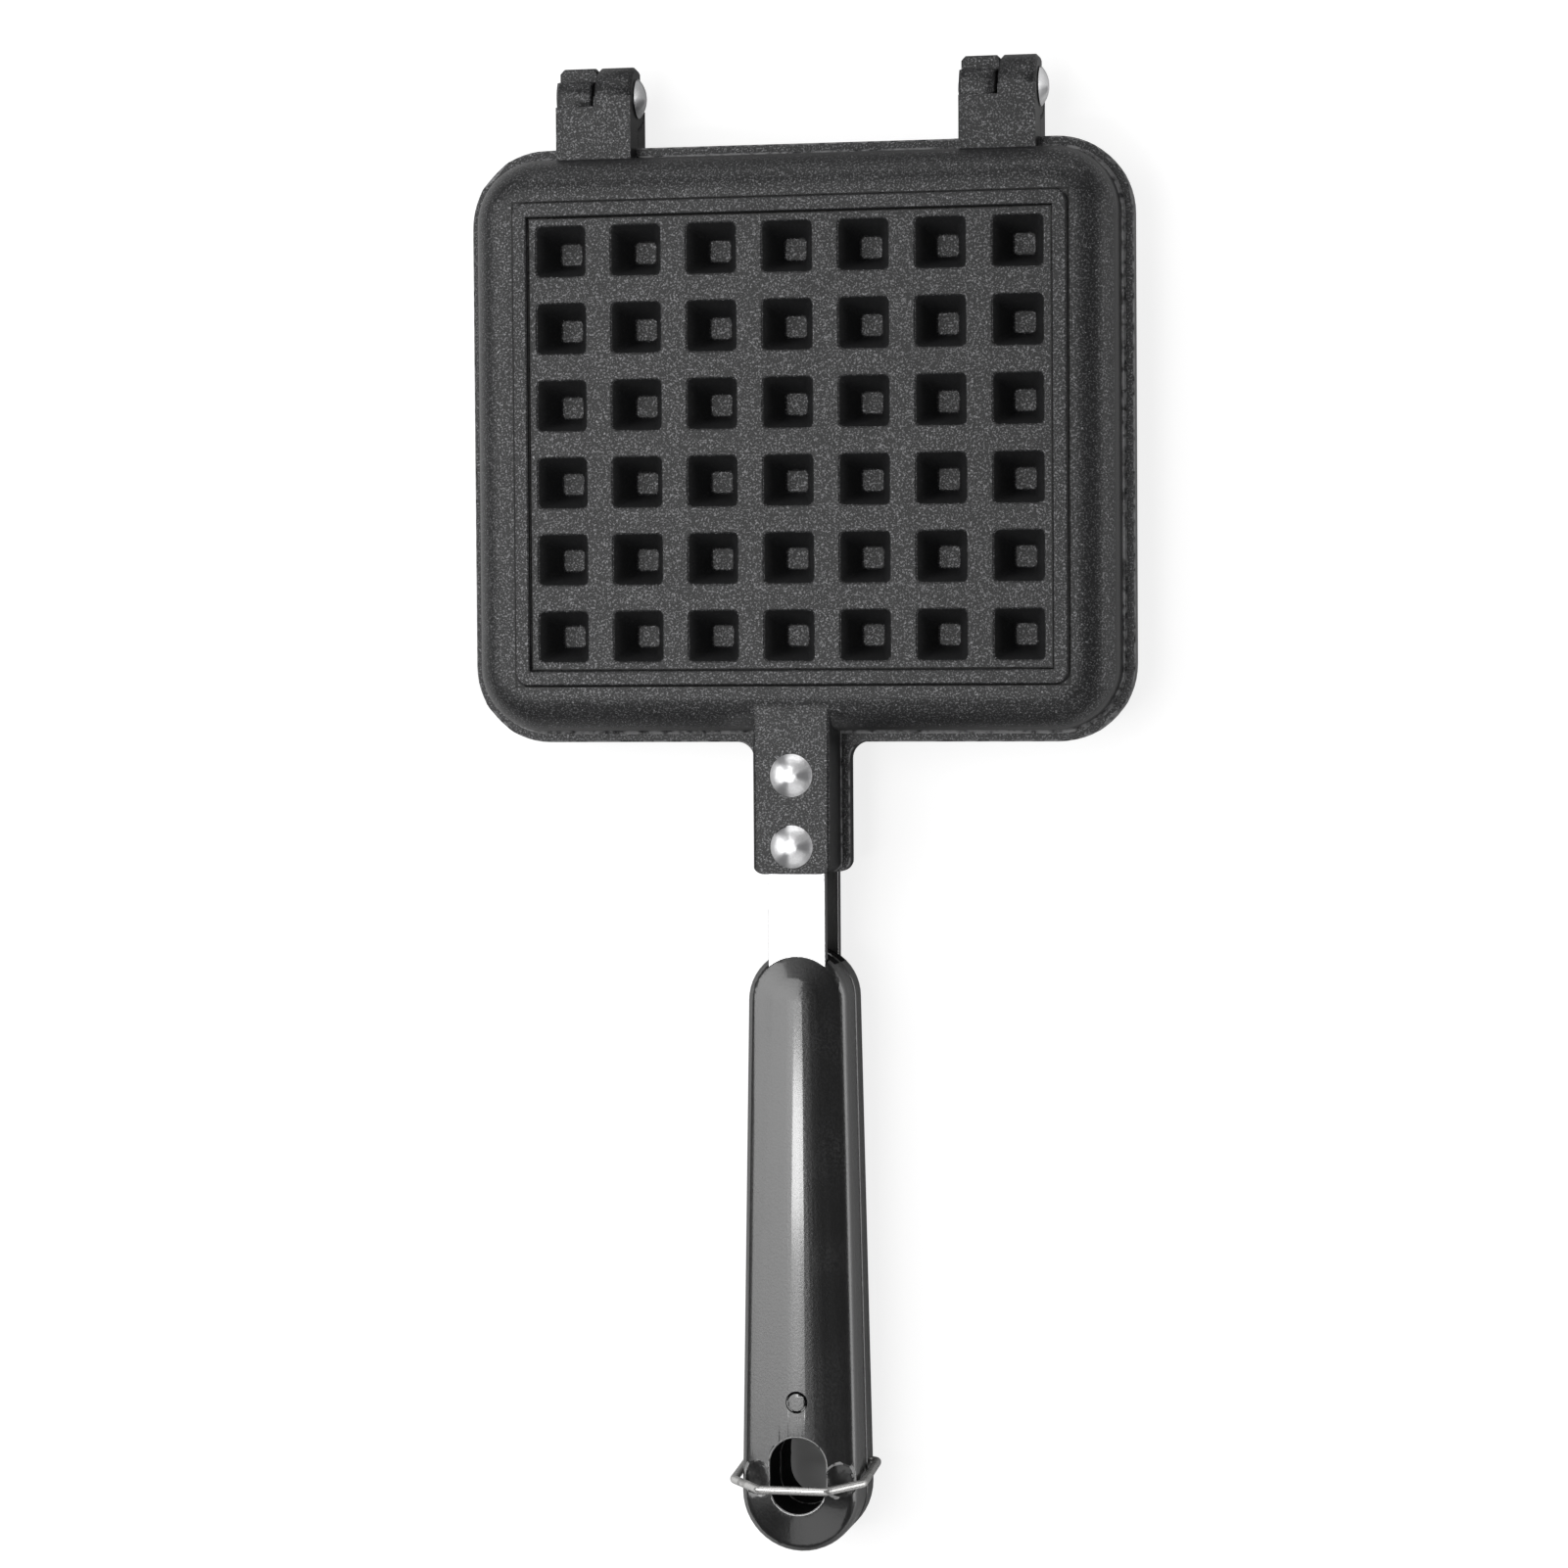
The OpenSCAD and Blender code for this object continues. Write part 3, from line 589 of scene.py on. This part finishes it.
def handle_finish(look):
    """Glossy black moulding: clear skin over black, haze, scratches, and lighter rims, part painted
    highlight.
    """
    finish = Finish("Moulded handle", look.black)
    finish.set("Specular IOR Level", look.gloss)
    finish.set("Coat Weight", 1.0)
    finish.set("Coat Roughness", look.skin_roughness)
    peel, height = finish.grain(look.peel)
    haze, _ = finish.grain(look.haze_patches)
    scratch, _ = finish.grain(look.scratches, look.scratch_stretch)
    breaks, _ = finish.grain(look.wear_and_highlight_grain)
    dusty = finish.value("MULTIPLY", haze, peel)
    # Rims of the hanging hole and scoops are lighter: rubbing, and a painted highlight
    worn_and_highlit = finish.value("MULTIPLY", finish.attribute("rubbed"), breaks)
    colour = finish.colours(dusty, look.black, look.haze)
    finish.set("Base Color", finish.colours(worn_and_highlit, colour, look.worn_and_highlit))
    finish.set("Roughness", finish.numbers(dusty, *look.roughness))
    peeled = finish.bump(height, look.peel_bump)
    finish.set("Normal", finish.bump(scratch, look.scratch_bump, peeled))
    return finish.material


def matt_finish(look):
    """Matt black of the moulding at its near end, in the hanging hole and in the mould mark."""
    finish = Finish("Matt moulding", look.black)
    finish.set("Specular IOR Level", look.matt_gloss)
    rough, height = finish.grain(look.matt_grain)
    finish.set("Base Color", finish.colours(rough, look.black, look.haze))
    finish.set("Roughness", finish.numbers(height, *look.matt_roughness))
    finish.set("Normal", finish.bump(height, look.matt_bump))
    return finish.material


def rivet_finish(look):
    """Bright worked aluminium: a smooth middle, and three darker wedges, a painted reflection of
    the tool marks.
    """
    finish = Finish("Bright rivet", look.rivet, look.rivet_metal)
    spot = finish.nodes.new("ShaderNodeUVMap")
    spot.uv_map = "head"
    spot = spot.outputs["UV"]
    turn = finish.nodes.new("ShaderNodeTexGradient")
    turn.gradient_type = "RADIAL"
    finish.links.new(spot, turn.inputs["Vector"])
    # Painted reflection: three darker wedges about the head's axis
    wedge = finish.value("MULTIPLY", turn.outputs["Fac"], WEDGES * math.tau)
    wedge = finish.value("COSINE", finish.value("ADD", wedge, look.wedge_turn))
    wedge = finish.numbers(wedge, 0.0, 1.0, *look.wedge_edge)
    reach = finish.vector("LENGTH", spot, result="Value")
    dull = finish.value("MULTIPLY", wedge, finish.numbers(reach, 0.0, 1.0, *look.wedge_reach))
    fine, height = finish.grain(look.rivet_grain)
    _, waves = finish.grain(look.rivet_waves)
    bright = finish.colours(fine, look.rivet, shaded(look.rivet, look.rivet_shade))
    finish.set("Base Color", finish.colours(dull, bright, look.wedge_reflection_colour))
    finish.set("Roughness", finish.numbers(height, *look.rivet_roughness))
    finish.set("Normal", finish.bump(dull, look.wedge_bump, finish.bump(waves, look.wave_bump)))
    return finish.material


def strap_finish(look):
    """Plated steel: rolling lines along it, a few dull patches, and darker sides and inner faces,
    part painted shade.
    """
    finish = Finish("Plated strap", look.strap, 1.0)
    _, lines = finish.grain(look.strap_lines, look.strap_stretch)
    dull, _ = finish.grain(look.strap_patches)
    plated = finish.colours(dull, look.strap, shaded(look.strap, look.strap_shade))
    finish.set("Base Color", finish.colours(finish.attribute("sheared"), plated, look.sheared))
    finish.set("Roughness", finish.numbers(lines, *look.strap_roughness))
    finish.set("Normal", finish.bump(lines, look.strap_bump))
    return finish.material


def wire_finish(look):
    """Drawn wire, slightly dulled."""
    finish = Finish("Drawn wire", look.wire, look.wire_metal)
    _, drawn = finish.grain(look.wire_grain)
    stain, _ = finish.grain(look.wire_stain)
    finish.set("Base Color", finish.colours(stain, look.wire, shaded(look.wire, look.stain_shade)))
    finish.set("Roughness", finish.numbers(drawn, *look.wire_roughness))
    finish.set("Normal", finish.bump(drawn, look.wire_bump))
    return finish.material


def floor_finish(look):
    """White to the camera and in mirrors, pale to the light; painted shade in mirrors near the pan,
    and under the hole.
    """
    work = NodeWork("White floor")
    path = work.nodes.new("ShaderNodeLightPath")
    # Painted shadow in mirrors: the floor shows them white only away from the pan's middle line
    side = work.value("ABSOLUTE", work.parts(work.place)[0])
    clear = work.numbers(side, 0.0, 1.0, *look.mirror_reach)
    mirrored = work.value("MULTIPLY", path.outputs["Is Glossy Ray"], clear)
    seen = work.value("MAXIMUM", path.outputs["Is Camera Ray"], mirrored)
    away = work.vector("DISTANCE", work.place, look.shade_place, result="Value")
    shade_end = look.shade_radius + look.shade_fade
    white = work.numbers(away, 0.0, look.floor_glow, look.shade_radius, shade_end)
    glow = work.nodes.new("ShaderNodeEmission")
    work.feed(work.value("MULTIPLY", seen, white), glow.inputs["Strength"])
    diffuse = work.nodes.new("ShaderNodeBsdfDiffuse")
    work.feed((*look.floor_colour, 1), diffuse.inputs["Color"])
    both = work.nodes.new("ShaderNodeAddShader")
    work.feed(diffuse.outputs["BSDF"], both.inputs[0])
    work.feed(glow.outputs["Emission"], both.inputs[1])
    work.feed(both.outputs["Shader"], work.output.inputs["Surface"])
    return work.material


# Shaping

X_AXIS, Y_AXIS, Z_AXIS = map(Vector, ((1, 0, 0), (0, 1, 0), (0, 0, 1)))


def loose_copy(node):
    """A closed copy of a CAD node's triangles, with a layer for marks of rubbing and painted
    highlight.
    """
    bm = bmesh.new()
    bm.from_mesh(frame["nodes"][node].data)
    bm.faces.layers.float.new("rubbed")
    bmesh.ops.remove_doubles(bm, verts=bm.verts, dist=MERGED)
    return bm


def join_flats(bm, kept=()):
    """Joins triangles that lie in one plane, but not across the kinds of edge that are kept."""
    bmesh.ops.dissolve_limit(
        bm, angle_limit=math.radians(ONE_PLANE), verts=bm.verts, edges=bm.edges,
        delimit=set(kept))


def merged_copy(node):
    """A closed copy of a CAD node, with its flat faces joined."""
    bm = loose_copy(node)
    join_flats(bm)
    return bm


def is_sharp(edge, angle):
    """True where two faces meet at more than an angle in degrees."""
    return len(edge.link_faces) == 2 and edge.calc_face_angle(0) > math.radians(angle)


def soften(bm, edges, radius, segments, rubbed=False):
    """Rounds the given edges; marked ones get a lighter colour, part rubbing and part painted
    highlight.
    """
    if not edges:
        return
    mark = bm.faces.layers.float.get("rubbed")
    made = bmesh.ops.bevel(
        bm, geom=edges, offset=radius, offset_type="OFFSET", segments=segments, profile=0.5,
        affect="EDGES", clamp_overlap=False, material=-1)
    if rubbed:
        for face in made["faces"]:
            if not face.is_valid:
                continue
            if face.calc_area() < radius * max(e.calc_length() for e in face.edges):
                face[mark] = 1


def keep_flats(mesh):
    """Shades each large level or upright face flat, up to the rounding beside it."""
    flat = [max(map(abs, face.normal)) > SQUARE and face.area > FLAT_AREA for face in mesh.polygons]
    touching = {}
    for face, is_flat in zip(mesh.polygons, flat):
        for vert in face.vertices if is_flat else ():
            touching.setdefault(vert, []).append(face.normal.copy())
    normals = [corner.vector.copy() for corner in mesh.corner_normals]
    for face, is_flat in zip(mesh.polygons, flat):
        for corner in face.loop_indices:
            beside = touching.get(mesh.loops[corner].vertex_index, [])
            if is_flat:
                normals[corner] = face.normal.copy()
            elif len(beside) == 1 and beside[0].dot(normals[corner]) > NEARLY_SQUARE:
                normals[corner] = beside[0]
    mesh.normals_split_custom_set(normals)


def finish_piece(bm, name, node, materials, smooth, flats=False):
    """Makes the object, gives it its finishes, and lets it stand for the CAD node.

    Faces shade as one up to the smooth angle, and flats keeps the large flat ones flat."""
    mesh = bpy.data.meshes.new(name)
    bm.to_mesh(mesh)
    bm.free()
    for polygon in mesh.polygons:
        polygon.use_smooth = True
    mesh.set_sharp_from_angle(angle=math.radians(smooth))
    if flats:
        keep_flats(mesh)
    for material in materials:
        mesh.materials.append(material)
    piece = bpy.data.objects.new(name, mesh)
    bpy.context.scene.collection.objects.link(piece)
    if not flats:
        piece.modifiers.new("Even shading", "WEIGHTED_NORMAL").keep_sharp = True
    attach(piece, frame["nodes"][node]["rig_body"])
    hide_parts(node)


class PlateSorter:
    """Sorts the edges of a plate by where they are, seen from the plate's own parting plane."""

    def __init__(self, look, upside_down):
        self.look = look
        self.sign = -1 if upside_down else 1

    def local(self, vert):
        """Place of a vertex from the middle of the grid, at the parting plane."""
        height = self.sign * (vert.co.z - PARTING_Z)
        return Vector((vert.co.x, vert.co.y - self.look.grid_middle, height))

    def within(self, edge, half, room):
        """True inside a half width and half length, with some room around them."""
        return all(abs(p.x) < half[0] + room and abs(p.y) < half[1] + room
                   for p in map(self.local, edge.verts))

    def in_grid(self, edge):
        """True among the pockets and studs."""
        return self.within(edge, self.look.grid_half, GRID_ROOM)

    def at_wall(self, edge):
        """True where the raised back stands on the flange, away from lugs and tang."""
        return self.within(edge, self.look.wall_half, WALL_ROOM)

    def slanted(self, edge, low, high):
        """True where an edge rises from one height to another."""
        a, b = sorted(self.local(v).z for v in edge.verts)
        return abs(a - low) < ON_HEIGHT and abs(b - high) < ON_HEIGHT

    def level(self, edge, height):
        """True where both ends of an edge are at a height."""
        return self.slanted(edge, height, height)


def cut_lines(bm, axis, places):
    """Cuts the mesh across an axis at each place."""
    for place in places:
        bmesh.ops.bisect_plane(
            bm, geom=bm.verts[:] + bm.edges[:] + bm.faces[:], dist=CUT,
            plane_co=axis * place, plane_no=axis)


def grid_places(count, pitch, middle):
    """Middles of the pockets and of the bars between them."""
    return [middle + (i - count + 1) * pitch / 2 for i in range(2 * count - 1)]


def rounded_plate(look, node, upside_down):
    """A plate with rounded pockets, studs, ridge, foot and edges, and its steep faces marked for
    painted shade.

    Seams through the middles of the pockets and bars split its faces, so that none has a hole."""
    bm = loose_copy(node)
    steep = bm.faces.layers.float.new("steep")
    columns = grid_places(COLUMNS, look.pitch, 0)
    rows = grid_places(ROWS, look.pitch, look.grid_middle)
    cut_lines(bm, X_AXIS, columns)
    cut_lines(bm, Y_AXIS, rows)
    for edge in bm.edges:
        a, b = (v.co for v in edge.verts)
        edge.seam = any(
            abs(a[k] - place) < ON_LINE and abs(b[k] - place) < ON_LINE
            for k, places in ((0, columns), (1, rows)) for place in places)
    join_flats(bm, ["SEAM"])
    sort = PlateSorter(look, upside_down)

    def sharp(inside):
        return [e for e in bm.edges if is_sharp(e, SHARP["casting"]) and sort.in_grid(e) == inside]

    for low, high in ((look.pocket_floor, look.back_height), (look.stud_tip, look.ceiling)):
        corners = [e for e in sharp(True) if sort.slanted(e, low, high)]
        soften(bm, corners, look.corner_radius, segments=3)
    for height in (look.back_height, look.pocket_floor, look.stud_tip, look.ceiling):
        soften(bm, [e for e in sharp(True) if sort.level(e, height)], look.rim_radius, segments=2)
    for height in (look.ridge_height, look.back_height):
        soften(bm, [e for e in sharp(False) if sort.level(e, height)], look.rim_radius, segments=2)
    # The foot fillet's lighter colour is a painted highlight, not rubbing
    foot = [e for e in sharp(False) if sort.level(e, look.flange_top) and sort.at_wall(e)]
    soften(bm, foot, look.foot_radius, segments=3, rubbed=True)
    edges = [e for e in sharp(False) if sort.level(e, look.flange_top) and not sort.at_wall(e)]
    soften(bm, edges, look.edge_radius, segments=2, rubbed=True)
    bm.normal_update()
    # Marks the steep faces for the coating's painted shade
    for face in bm.faces:
        face[steep] = 1 if abs(face.normal.z) < look.steep_below else 0
    return bm


def crown_at(look, x, y):
    """Share of the crown's half width at a place on a handle, and the crown's height there."""
    span = look.near_middle - look.far_middle
    share = min(max((look.near_middle - y) / span, 0), 1)
    half = look.half_widths[0] + share * (look.half_widths[1] - look.half_widths[0])
    height = look.crown_heights[0] + share * (look.crown_heights[1] - look.crown_heights[0])
    middle = min(max(y, look.far_middle), look.near_middle)
    part = math.hypot(x, y - middle) / (half - look.outer_radius)
    return part, height - look.crown_fall * part * part


def on_hole(look, co):
    """True on the wall of the hanging hole."""
    width, length = look.hole_size
    y = max(abs(co.y - look.hole_middle) - (length - width) / 2, 0)
    return abs(math.hypot(co.x, y) - width / 2) < ON_HOLE


def on_crown(look, co, sign, slack):
    """True on the crown of a handle, within a slack in height."""
    part, height = crown_at(look, co.x, co.y)
    return part < 1 and abs(sign * (co.z - PARTING_Z) - height) < slack


def on_scoop_rim(look, co):
    """True on the round rim of a scoop."""
    reach = math.hypot(abs(co.x) - look.scoop_middle[0], co.y - look.scoop_middle[1])
    return SCOOP_RIM[0] < 2 * reach / look.scoop_size < SCOOP_RIM[1]


def in_mark(look, co):
    """True in the mould mark, its edges included."""
    return math.hypot(co.x, co.y - look.mark_middle) < look.mark_size / 2 + MARK_ROOM


def in_groove(look, face):
    """True in the round groove of the mould mark."""
    middle = face.calc_center_median()
    reach = math.hypot(middle.x, middle.y - look.mark_middle)
    small = face.calc_area() < MARK_GROOVE * MM
    return small and in_mark(look, middle) and reach > look.mark_size / 2 - MARK_GROOVE


def rounded_handle(look, node, upside_down):
    """A handle with softened rims, a smoothly curved crown, and its matt faces marked."""
    bm = merged_copy(node)
    sign = -1 if upside_down else 1

    def sharp(kind, test):
        return [e for e in bm.edges
                if is_sharp(e, SHARP[kind]) and all(test(v.co) for v in e.verts)]

    hole = sharp("hole", lambda co: on_hole(look, co))
    scoops = sharp("scoop", lambda co: on_scoop_rim(look, co) and not on_hole(look, co))
    # These rims take the lighter colour: rubbing, and a painted highlight
    soften(bm, hole + scoops, look.rim_radius, segments=3, rubbed=True)
    mark = sharp("mark", lambda co: in_mark(look, co) and on_crown(look, co, sign, ON_HEIGHT))
    soften(bm, mark, look.mark_edge, segments=2)
    strips = range(-CROWN_STRIPS, CROWN_STRIPS + 1)
    cut_lines(bm, X_AXIS, [i * look.crown_step for i in strips])
    length = look.near_middle - look.far_middle
    parts = range(-1, CROWN_PARTS + 2)
    cut_lines(bm, Y_AXIS, [look.far_middle + length * i / CROWN_PARTS for i in parts])
    for vert in bm.verts:
        if on_crown(look, vert.co, sign, ON_CROWN):
            vert.co.z = PARTING_Z + sign * crown_at(look, vert.co.x, vert.co.y)[1]
    bm.normal_update()
    end_y = HANDLE_NEAR_Y - look.outer_radius
    for face in bm.faces:
        middle = face.calc_center_median()
        at_end = middle.y > end_y and face.normal.y > TOWARDS_END
        in_hole = abs(face.normal.z) < UPRIGHT and on_hole(look, middle)
        face.material_index = 1 if at_end or in_hole or in_groove(look, face) else 0
    return bm


def head_map(bm, middle, across, along):
    """A map in millimetres about the axis of a rivet or pin, for the marks of the riveting tool."""
    layer = bm.loops.layers.uv.new("head")
    for face in bm.faces:
        for loop in face.loops:
            reach = (loop.vert.co - middle) / MM
            loop[layer].uv = (reach.dot(across), reach.dot(along))


# Operators, one for each piece or group of like pieces

class PAN_OT_plates(bpy.types.Operator):
    """Softens both cast plates and gives them their coating"""
    bl_idname = "pan.plates"
    bl_label = "Cast plates"

    def execute(self, context):
        look = context.scene.pan_casting
        material = casting_finish(look)
        for half, upside_down in (("upper", False), ("lower", True)):
            node = half + "_plate"
            bm = rounded_plate(look, node, upside_down)
            finish_piece(
                bm, half + "_casting", node, [material], SMOOTH["casting"],
                flats=True)
        return {"FINISHED"}


class PAN_OT_handles(bpy.types.Operator):
    """Smooths both moulded handles and gives them their gloss"""
    bl_idname = "pan.handles"
    bl_label = "Moulded handles"

    def execute(self, context):
        look = context.scene.pan_handle
        materials = [handle_finish(look), matt_finish(look)]
        for half in ("upper", "lower"):
            node = half + "_handle"
            bm = rounded_handle(look, node, half == "lower")
            finish_piece(
                bm, half + "_moulding", node, materials, SMOOTH["handle"])
        return {"FINISHED"}


class PAN_OT_rivets(bpy.types.Operator):
    """Gives the rivets and hinge pins their bright worked finish"""
    bl_idname = "pan.rivets"
    bl_label = "Rivets and hinge pins"

    def execute(self, context):
        material = rivet_finish(context.scene.pan_metal)
        for node in (
            "upper_rivet_inner", "upper_rivet_outer", "lower_rivet_inner", "lower_rivet_outer",
            "hinge_pin_left", "hinge_pin_right",
        ):
            bm = merged_copy(node)
            low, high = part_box(node)
            pin = node.startswith("hinge")
            across, along = (Y_AXIS, Z_AXIS) if pin else (X_AXIS, Y_AXIS)
            head_map(bm, (low + high) / 2, across, along)
            finish_piece(bm, node + "_bright", node, [material], SMOOTH["rivet"])
        return {"FINISHED"}


class PAN_OT_straps(bpy.types.Operator):
    """Gives the straps their plated finish and softened edges"""
    bl_idname = "pan.straps"
    bl_label = "Straps"

    def execute(self, context):
        look = context.scene.pan_metal
        material = strap_finish(look)
        for half in ("upper", "lower"):
            node = half + "_strap"
            bm = merged_copy(node)
            sheared = bm.faces.layers.float.new("sheared")
            sides = [e for e in bm.edges
                     if is_sharp(e, SHARP["strap"]) and e.calc_length() > STRAP_SIDE]
            soften(bm, sides, look.strap_edge, segments=2)
            bm.normal_update()
            # Sides and inner faces take the darker colour: shear-cut steel, and painted shade
            # between the straps
            for face in bm.faces:
                inside = -face.normal.z if half == "upper" else face.normal.z
                face[sheared] = 1 if max(abs(face.normal.x), inside) > NEARLY_SQUARE else 0
            finish_piece(bm, half + "_band", node, [material], SMOOTH["strap"])
        return {"FINISHED"}


class PAN_OT_bail(bpy.types.Operator):
    """Gives the wire bail its drawn finish"""
    bl_idname = "pan.bail"
    bl_label = "Bail"

    def execute(self, context):
        material = wire_finish(context.scene.pan_metal)
        bm = merged_copy("bail")
        finish_piece(bm, "bail_wire", "bail", [material], SMOOTH["wire"])
        return {"FINISHED"}


def area_light(name, place, aim, size, power):
    """A rectangular light at a place, turned to its aim; its size is across and along Y."""
    back = (Vector(place) - Vector(aim)).normalized()
    along = (Y_AXIS - back * back.y).normalized()
    data = bpy.data.lights.new(name, "AREA")
    data.shape = "RECTANGLE"
    data.size, data.size_y = size
    data.energy = power
    light = bpy.data.objects.new(name, data)
    light.location = place
    light.rotation_euler = Matrix((along.cross(back), along, back)).transposed().to_euler()
    bpy.context.scene.collection.objects.link(light)


class PAN_OT_stage(bpy.types.Operator):
    """Adds the white floor, the soft lights and the camera of the photograph"""
    bl_idname = "pan.stage"
    bl_label = "Stage"

    def execute(self, context):
        look = context.scene.pan_stage
        bm = bmesh.new()
        bmesh.ops.create_grid(bm, x_segments=2, y_segments=2, size=look.floor_half)
        mesh = bpy.data.meshes.new("floor")
        bm.to_mesh(mesh)
        bm.free()
        mesh.materials.append(floor_finish(look))
        floor = bpy.data.objects.new("floor", mesh)
        context.scene.collection.objects.link(floor)

        world = bpy.data.worlds.new("Studio")
        world.use_nodes = True
        sky = world.node_tree.nodes["Background"]
        sky.inputs["Color"].default_value = (1, 1, 1, 1)
        sky.inputs["Strength"].default_value = look.fill
        context.scene.world = world

        for name, place, aim, size, power in LIGHTS:
            area_light(name, place, aim, size, getattr(look, power))

        data = bpy.data.cameras.new("Camera")
        data.sensor_width = look.sensor
        data.lens = look.lens
        camera = bpy.data.objects.new("Camera", data)
        camera.location = look.camera_place
        camera.rotation_euler = [math.radians(a) for a in look.camera_turn]
        context.scene.collection.objects.link(camera)
        context.scene.camera = camera
        context.scene.view_settings.view_transform = "Standard"
        return {"FINISHED"}


class PAN_PT_sidebar(bpy.types.Panel):
    """Lists the steps that dress the pan"""
    bl_idname = "PAN_PT_sidebar"
    bl_label = "Waffle pan"
    bl_space_type = "VIEW_3D"
    bl_region_type = "UI"
    bl_category = "Waffle pan"

    def draw(self, context):
        for step in STEPS:
            self.layout.operator(step.bl_idname)


LOOKS = (
    ("pan_casting", CastingLook),
    ("pan_handle", HandleLook),
    ("pan_metal", MetalLook),
    ("pan_stage", StageLook),
)
STEPS = (PAN_OT_plates, PAN_OT_handles, PAN_OT_rivets, PAN_OT_straps, PAN_OT_bail, PAN_OT_stage)


def register():
    """Adds the values, the steps and the panel."""
    for name, group in LOOKS:
        bpy.utils.register_class(group)
        setattr(bpy.types.Scene, name, PointerProperty(type=group))
    for step in STEPS:
        bpy.utils.register_class(step)
    bpy.utils.register_class(PAN_PT_sidebar)


def unregister():
    """Takes them away again."""
    bpy.utils.unregister_class(PAN_PT_sidebar)
    for step in reversed(STEPS):
        bpy.utils.unregister_class(step)
    for name, group in reversed(LOOKS):
        delattr(bpy.types.Scene, name)
        bpy.utils.unregister_class(group)


def main():
    """Makes every piece and the stage."""
    register()
    for step in STEPS:
        group, name = step.bl_idname.split(".")
        getattr(getattr(bpy.ops, group), name)()


if __name__ == "__main__":
    main()
